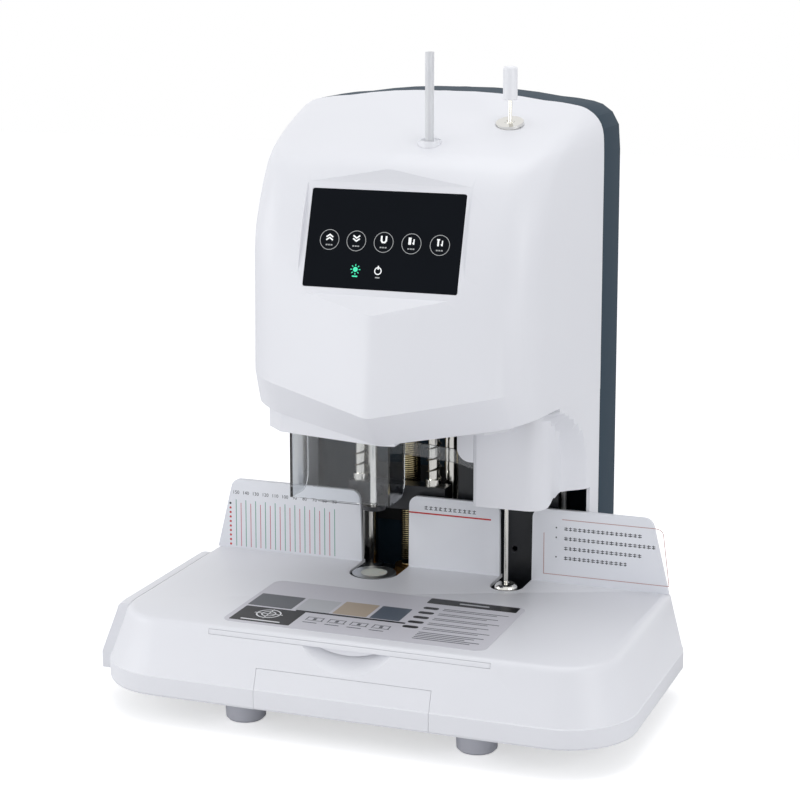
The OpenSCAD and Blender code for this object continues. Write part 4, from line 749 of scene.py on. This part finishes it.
fence_coat = powder_coat("white_powder_coat", "#E3E5EA", "#DFE1E7")
smooth_shell("paper_fence", "fence_uprights", fence_coat, "base", round_edge=0.5 * MM, crease=40,
             sharp=30)

# Inks of the ruler and frames.
ink_green = printed_film("ruler_green_ink", "#5FA28C", 0.45)
ink_red = printed_film("ruler_red_ink", "#C9707F", 0.45)
ink_line = printed_film("red_rule_ink", "#C6403F", 0.45)
ink_dark = printed_film("dark_grey_ink", "#3F4247", 0.45)
ink_frame = printed_film("brown_red_ink", "#B98D8B", 0.45)

FENCE_FRONT = 76 * MM
DRILL_X = -48.5


def stand_up(piece):
    """What was printed flat is turned up against the fence's front face."""
    piece.rotation_euler = (math.radians(90), 0, 0)
    piece.location = SHIFT + Vector((0, FENCE_FRONT - 0.01 * MM, TABLE_Z))
    apply_place(piece)
    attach(piece, "base")
    return piece


def figure(value, x, z, high, finish, low=0.0):
    """A plain figure, raised as thick ink."""
    bpy.ops.object.select_all(action="DESELECT")
    bpy.ops.object.text_add(location=(x, z, low))
    made = bpy.context.object
    made.data.body = str(value)
    made.data.size = high
    made.data.align_x = "CENTER"
    made.data.extrude = 0.03 * MM
    made.data.resolution_u = 3
    made.data.materials.append(finish)
    bpy.ops.object.convert(target="MESH")
    apply_place(made)
    return made


ruler_pieces = []
for mark in range(50, 151, 5):
    x = DRILL_X - mark
    major = mark % 10 == 0
    foot, head = (2, 47) if major else (2, 44)
    half = 0.32
    ruler_pieces.append(plate("ruler_line", (x - half) * MM, (x + half) * MM, foot * MM, head * MM, 0, 0.05 * MM, 0,
                              ink_green if major else ink_red))
    if major:
        ruler_pieces.append(figure(mark, x * MM, 52.5 * MM, 4.6 * MM, ink_dark))
for k in range(10):
    ruler_pieces.append(plate("ruler_dot", -205.4 * MM, -203.4 * MM, (42 - 4.4 * k) * MM, (44 - 4.4 * k) * MM, 0,
                              0.05 * MM, 0.6 * MM, ink_line if k else ink_dark, 2))
ruler_pieces.append(plate("pointer_rule", -115 * MM, -74 * MM, 53.4 * MM, 54 * MM, 0, 0.05 * MM, 0, ink_dark))
stand_up(merge_pieces("ruler_print", ruler_pieces))

# middle upright: red rule with a row of small marks over it
rule_pieces = [plate("red_rule", -25 * MM, 53.5 * MM, 51 * MM, 52.4 * MM, 0, 0.05 * MM, 0, ink_line)]
for k in range(11):
    x0 = -10 + 4.6 * k
    for a, b, c, d in ((0, 3.2, 0, 0.5), (0, 3.2, 2.4, 2.9), (1.3, 1.9, 0, 3.4), (0.2 + k % 3 * 0.8, 0.8 + k % 3 * 0.8, 0.8, 2)):
        rule_pieces.append(plate("small_mark", (x0 + a) * MM, (x0 + b) * MM, (55.4 + c) * MM, (55.4 + d) * MM, 0,
                                 0.05 * MM, 0, ink_dark))
stand_up(merge_pieces("rule_print", rule_pieces))

# right upright: a thin frame with plain bars for its lines of print
frame_pieces = []
for x0, x1, z0, z1 in ((120, 205, 58.2, 58.8), (103, 218, 7, 7.6), (103, 103.6, 7, 45)):
    frame_pieces.append(plate("frame_rule", x0 * MM, x1 * MM, z0 * MM, z1 * MM, 0, 0.05 * MM, 0, ink_frame))
for x0, x1, z in ((122, 190, 49), (122, 205, 40), (122, 192, 31), (122, 178, 22)):
    step = 0
    x = x0
    while x < x1:
        wide = (3.4, 2.6, 3.8, 3.0)[step % 4]
        frame_pieces.append(plate("bar", x * MM, (x + wide) * MM, z * MM, (z + 0.7) * MM, 0, 0.05 * MM, 0, ink_dark))
        frame_pieces.append(plate("bar", x * MM, (x + wide) * MM, (z + 1.7) * MM, (z + 2.3) * MM, 0, 0.05 * MM, 0,
                                  ink_dark))
        frame_pieces.append(plate("bar", (x + wide * 0.4) * MM, (x + wide * 0.4 + 0.6) * MM, (z - 0.6) * MM,
                                  (z + 3) * MM, 0, 0.05 * MM, 0, ink_dark))
        x += wide + 1.0
        step += 1
for z in (50, 41, 23):
    frame_pieces.append(plate("bullet", 114 * MM, 115.4 * MM, z * MM, (z + 1.4) * MM, 0, 0.05 * MM, 0.6 * MM, ink_dark,
                              3))
# slanting right side with its rounded corner, in short straight runs
corner_path = [(205, 58.5), (208, 58), (210.6, 56.4), (212, 54), (218, 7.4)]
for (x0, z0), (x1, z1) in zip(corner_path, corner_path[1:]):
    long = math.hypot(x1 - x0, z1 - z0)
    run = plate("frame_rule", -long / 2 * MM, long / 2 * MM, -0.3 * MM, 0.3 * MM, 0, 0.05 * MM, 0, ink_frame)
    run.rotation_euler = (0, 0, math.atan2(z1 - z0, x1 - x0))
    run.location = ((x0 + x1) / 2 * MM, (z0 + z1) / 2 * MM, 0)
    apply_place(run)
    frame_pieces.append(run)
stand_up(merge_pieces("frame_print", frame_pieces))

# ---- Drill guard ----
# A folded screen of clear polycarbonate round the drill, screwed to the cover; a strap leads from
# it to the riveting side.
clear_sheet, clear_shader = new_finish("clear_polycarbonate")
clear_shader.inputs["Base Color"].default_value = linear("#F2F5F7")
clear_shader.inputs["Transmission Weight"].default_value = 1
clear_shader.inputs["IOR"].default_value = 1.58
clear_where = add(clear_sheet, "ShaderNodeTexCoord").outputs["Object"]
clear_haze = add(clear_sheet, "ShaderNodeTexNoise", {"Vector": clear_where, "Scale": 60, "Detail": 3})
clear_gloss = add(clear_sheet, "ShaderNodeMapRange", {"Value": clear_haze.outputs["Fac"], "To Min": 0.02, "To Max": 0.07})
join_sockets(clear_sheet, clear_shader, Roughness=clear_gloss.outputs[0])
coat(clear_sheet, "drill_guard")

# ---- Front cover ----
# One large white moulding: head with its prow, column sides and the lobe over the riveting
# station. The loft between the crease lines is smooth, and the panel's bezel is cut flat.
smooth_shell("front_cover", "front_moulding", white_abs, "base", sharp=22)
smooth_shell("chin_cover", "chin_moulding", white_abs, "base", sharp=30)

# ---- Touch panel ----
# Toughened glass, 2.4 mm, printed black on its back, let into the bezel. Five ringed keys and two
# lit marks show through the print.
panel_glass, glass_shader = new_finish("black_backed_glass")
glass_shader.inputs["Roughness"].default_value = 0.12
glass_shader.inputs["Specular IOR Level"].default_value = 0.05
glass_where = add(panel_glass, "ShaderNodeTexCoord").outputs["Object"]
glass_depth = add(panel_glass, "ShaderNodeTexNoise", {"Vector": glass_where, "Scale": 20, "Detail": 2})
glass_tone = add(panel_glass, "ShaderNodeMix", {"Factor": glass_depth.outputs["Fac"], "A": linear("#0D1015"),
                                                "B": linear("#10141A")}, data_type="RGBA")
join_sockets(panel_glass, glass_shader, Base_Color=glass_tone.outputs["Result"])
coat(panel_glass, "panel_glass")


def lit_print(name, colour, glow):
    """Print that gives off light: the lit marks have a lamp behind them, and the glow of the other key marks and rings
    is painted light.
    """
    finish, shader = new_finish(name)
    shader.inputs["Roughness"].default_value = 0.4
    shader.inputs["Emission Color"].default_value = linear(colour)
    shader.inputs["Emission Strength"].default_value = glow
    where = add(finish, "ShaderNodeTexCoord").outputs["Object"]
    spread = add(finish, "ShaderNodeTexNoise", {"Vector": where, "Scale": 800})
    tone = add(finish, "ShaderNodeMix", {"Factor": spread.outputs["Fac"], "A": linear(colour),
                                         "B": [c * 0.9 for c in linear(colour)[:3]] + [1]}, data_type="RGBA")
    join_sockets(finish, shader, Base_Color=tone.outputs["Result"])
    return finish


# The white key symbols and the grey rings and captions glow too: a painted glow, as no lamp lies behind them.
mark_white = lit_print("white_key_print", "#E8EAEA", 0.35)
mark_ring = lit_print("grey_key_ring", "#A6A8A8", 0.1)
mark_green = lit_print("green_lamp_print", "#3BD0A0", 0.6)
mark_thick = 0.06 * MM


def stroke(x0, y0, x1, y1, width, finish):
    """One straight stroke of a mark, in panel millimetres."""
    long = math.hypot(x1 - x0, y1 - y0)
    made = plate("stroke", -long / 2 * MM, long / 2 * MM, -width / 2 * MM, width / 2 * MM, 0, mark_thick, 0, finish)
    made.rotation_euler = (0, 0, math.atan2(y1 - y0, x1 - x0))
    made.location = ((x0 + x1) / 2 * MM, (y0 + y1) / 2 * MM, 0)
    apply_place(made)
    return made


panel_marks = []
key_x = [-48.5, -24.4, 0, 24.6, 49.5]
key_y = -1.5
for x in key_x:
    panel_marks.append(ring("key_ring", x * MM, key_y * MM, 0, 8.7 * MM, 0.5 * MM, mark_thick, mark_ring))
    # caption under the mark: a short row of dashes
    for k in range(3):
        panel_marks.append(stroke(x - 3 + 2.2 * k, key_y - 4.4, x - 1.4 + 2.2 * k, key_y - 4.4, 1.1, mark_ring))
for lift in (0, 2.6):
    x = key_x[0]
    panel_marks.append(stroke(x - 3, key_y - 0.4 + lift, x + 0.3, key_y + 2 + lift, 1.2, mark_white))
    panel_marks.append(stroke(x + 3, key_y - 0.4 + lift, x - 0.3, key_y + 2 + lift, 1.2, mark_white))
    x = key_x[1]
    panel_marks.append(stroke(x - 3, key_y + 2 + lift, x + 0.3, key_y - 0.4 + lift, 1.2, mark_white))
    panel_marks.append(stroke(x + 3, key_y + 2 + lift, x - 0.3, key_y - 0.4 + lift, 1.2, mark_white))
# rivet outline, an open U with a round foot
panel_marks.append(stroke(-2.1, key_y + 5.4, -2.1, key_y + 1.4, 1.5, mark_white))
panel_marks.append(stroke(2.1, key_y + 5.4, 2.1, key_y + 1.4, 1.5, mark_white))
panel_marks.append(stroke(-2.3, key_y + 1.7, -0.9, key_y - 0.2, 1.5, mark_white))
panel_marks.append(stroke(2.3, key_y + 1.7, 0.9, key_y - 0.2, 1.5, mark_white))
panel_marks.append(stroke(-1.3, key_y - 0.1, 1.3, key_y - 0.1, 1.3, mark_white))
# drill and arrow, then riveting punch and arrow
for x, wide in ((key_x[3], 2.4), (key_x[4], 1.4)):
    panel_marks.append(stroke(x - 1.6, key_y + 5, x - 1.6, key_y - 0.8, wide, mark_white))
    panel_marks.append(stroke(x - 2.9, key_y + 4.6, x - 0.3, key_y + 4.6, 1.1, mark_white))
    panel_marks.append(stroke(x + 2, key_y + 4, x + 2, key_y - 0.6, 1.0, mark_white))
    panel_marks.append(stroke(x + 0.9, key_y + 1, x + 2, key_y - 0.6, 0.8, mark_white))
# lamp: a green dot with eight rays and a bar; power: a ring with a bar at its top
lamp_x, lamp_y = -22.5, -25.5
panel_marks.append(ring("lamp_dot", lamp_x * MM, lamp_y * MM, 0, 2.1 * MM, 2.0 * MM, mark_thick, mark_green, 24))
for k in range(8):
    c, s = math.cos(math.radians(45 * k)), math.sin(math.radians(45 * k))
    panel_marks.append(stroke(lamp_x + 3 * c, lamp_y + 3 * s, lamp_x + 4.4 * c, lamp_y + 4.4 * s, 0.7, mark_green))
panel_marks.append(stroke(lamp_x - 2.4, lamp_y - 5.8, lamp_x + 2.4, lamp_y - 5.8, 1.1, mark_green))
panel_marks.append(ring("power_ring", -2.3 * MM, -25.8 * MM, 0, 3.3 * MM, 0.9 * MM, mark_thick, mark_white, 32))
panel_marks.append(stroke(-2.3, -24.6, -2.3, -21.4, 1.1, mark_white))
panel_marks.append(stroke(-4.3, -31.4, -0.3, -31.4, 1.0, mark_ring))
marks = merge_pieces("panel_print", panel_marks)

# the panel leans back by 17.7 degrees from upright
glass_low, glass_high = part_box("panel_glass")
PANEL_TILT = math.radians(90 - 17.7)
panel_normal = Vector((0, -math.sin(PANEL_TILT), math.cos(PANEL_TILT)))
glass_mid = Vector([(a + b) / 2 for a, b in zip(glass_low, glass_high)])
marks.rotation_euler = (PANEL_TILT, 0, 0)
marks.location = glass_mid + panel_normal * (1.2 * MM + 0.01 * MM)
apply_place(marks)
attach(marks, "base")

# ---- Guide rod, its handle and the rivet tube ----
# A ground steel rod finds the rivet hole from above; its handle is white ABS. The rivet stock is a
# milky nylon tube that stands in a collar beside it.
coat(column_steel, "guide_rod")
handle_abs = moulded_abs("white_handle_abs", "#ECEDF0", "#E7E8EC", 0.3, 0.5)
coat(handle_abs, "rod_handle", "tube_collar")

# Nylon tube: milky, lets some light in.
nylon, nylon_shader = new_finish("milky_nylon_tube")
nylon_shader.inputs["Roughness"].default_value = 0.35
nylon_shader.inputs["IOR"].default_value = 1.53
nylon_shader.inputs["Transmission Weight"].default_value = 0.25
nylon_where = add(nylon, "ShaderNodeTexCoord").outputs["Object"]
nylon_flow = add(nylon, "ShaderNodeTexNoise", {"Vector": nylon_where, "Scale": 70, "Detail": 2})
nylon_tone = add(nylon, "ShaderNodeMix", {"Factor": nylon_flow.outputs["Fac"], "A": linear("#F0F1F3"),
                                          "B": linear("#E4E6EA")}, data_type="RGBA")
join_sockets(nylon, nylon_shader, Base_Color=nylon_tone.outputs["Result"])
coat(nylon, "rivet_tube")

# ---- Back cover, mains inlet and switch ----
# The back half of the head and column is slate ABS with vents; the inlet and the rocker switch snap
# into a bay at its foot.
slate_abs = moulded_abs("slate_moulded_abs", "#2F404D", "#2B3A46", 0.6, 0.7)
slate_abs.node_tree.nodes["Principled BSDF"].inputs["Specular IOR Level"].default_value = 0.08
smooth_shell("back_cover", "back_moulding", slate_abs, "base", sharp=24)
black_abs = moulded_abs("black_moulded_abs", "#17181A", "#1C1D20", 0.4, 0.5)
coat(black_abs, "power_inlet", "rocker_switch")

# A sheet of black foam lies behind the lower vents: a dark sheet put there as painted shade, so that the vents look
# dark inside.
VENT_INSIDE = 157.3 * MM
vent_shade_foam = moulded_rubber("black_vent_shade_foam", "#141517", "#1B1C1F", 1.2)
vent_shade_sheet = plate("vent_shade_panel", -90 * MM, 44 * MM, 106 * MM, 162 * MM, 0, 2.5 * MM, 3 * MM, vent_shade_foam)
vent_shade_sheet.rotation_euler = (math.radians(90), 0, 0)
vent_shade_sheet.location = (0, VENT_INSIDE, 0)
apply_place(vent_shade_sheet)
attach(vent_shade_sheet, "base")
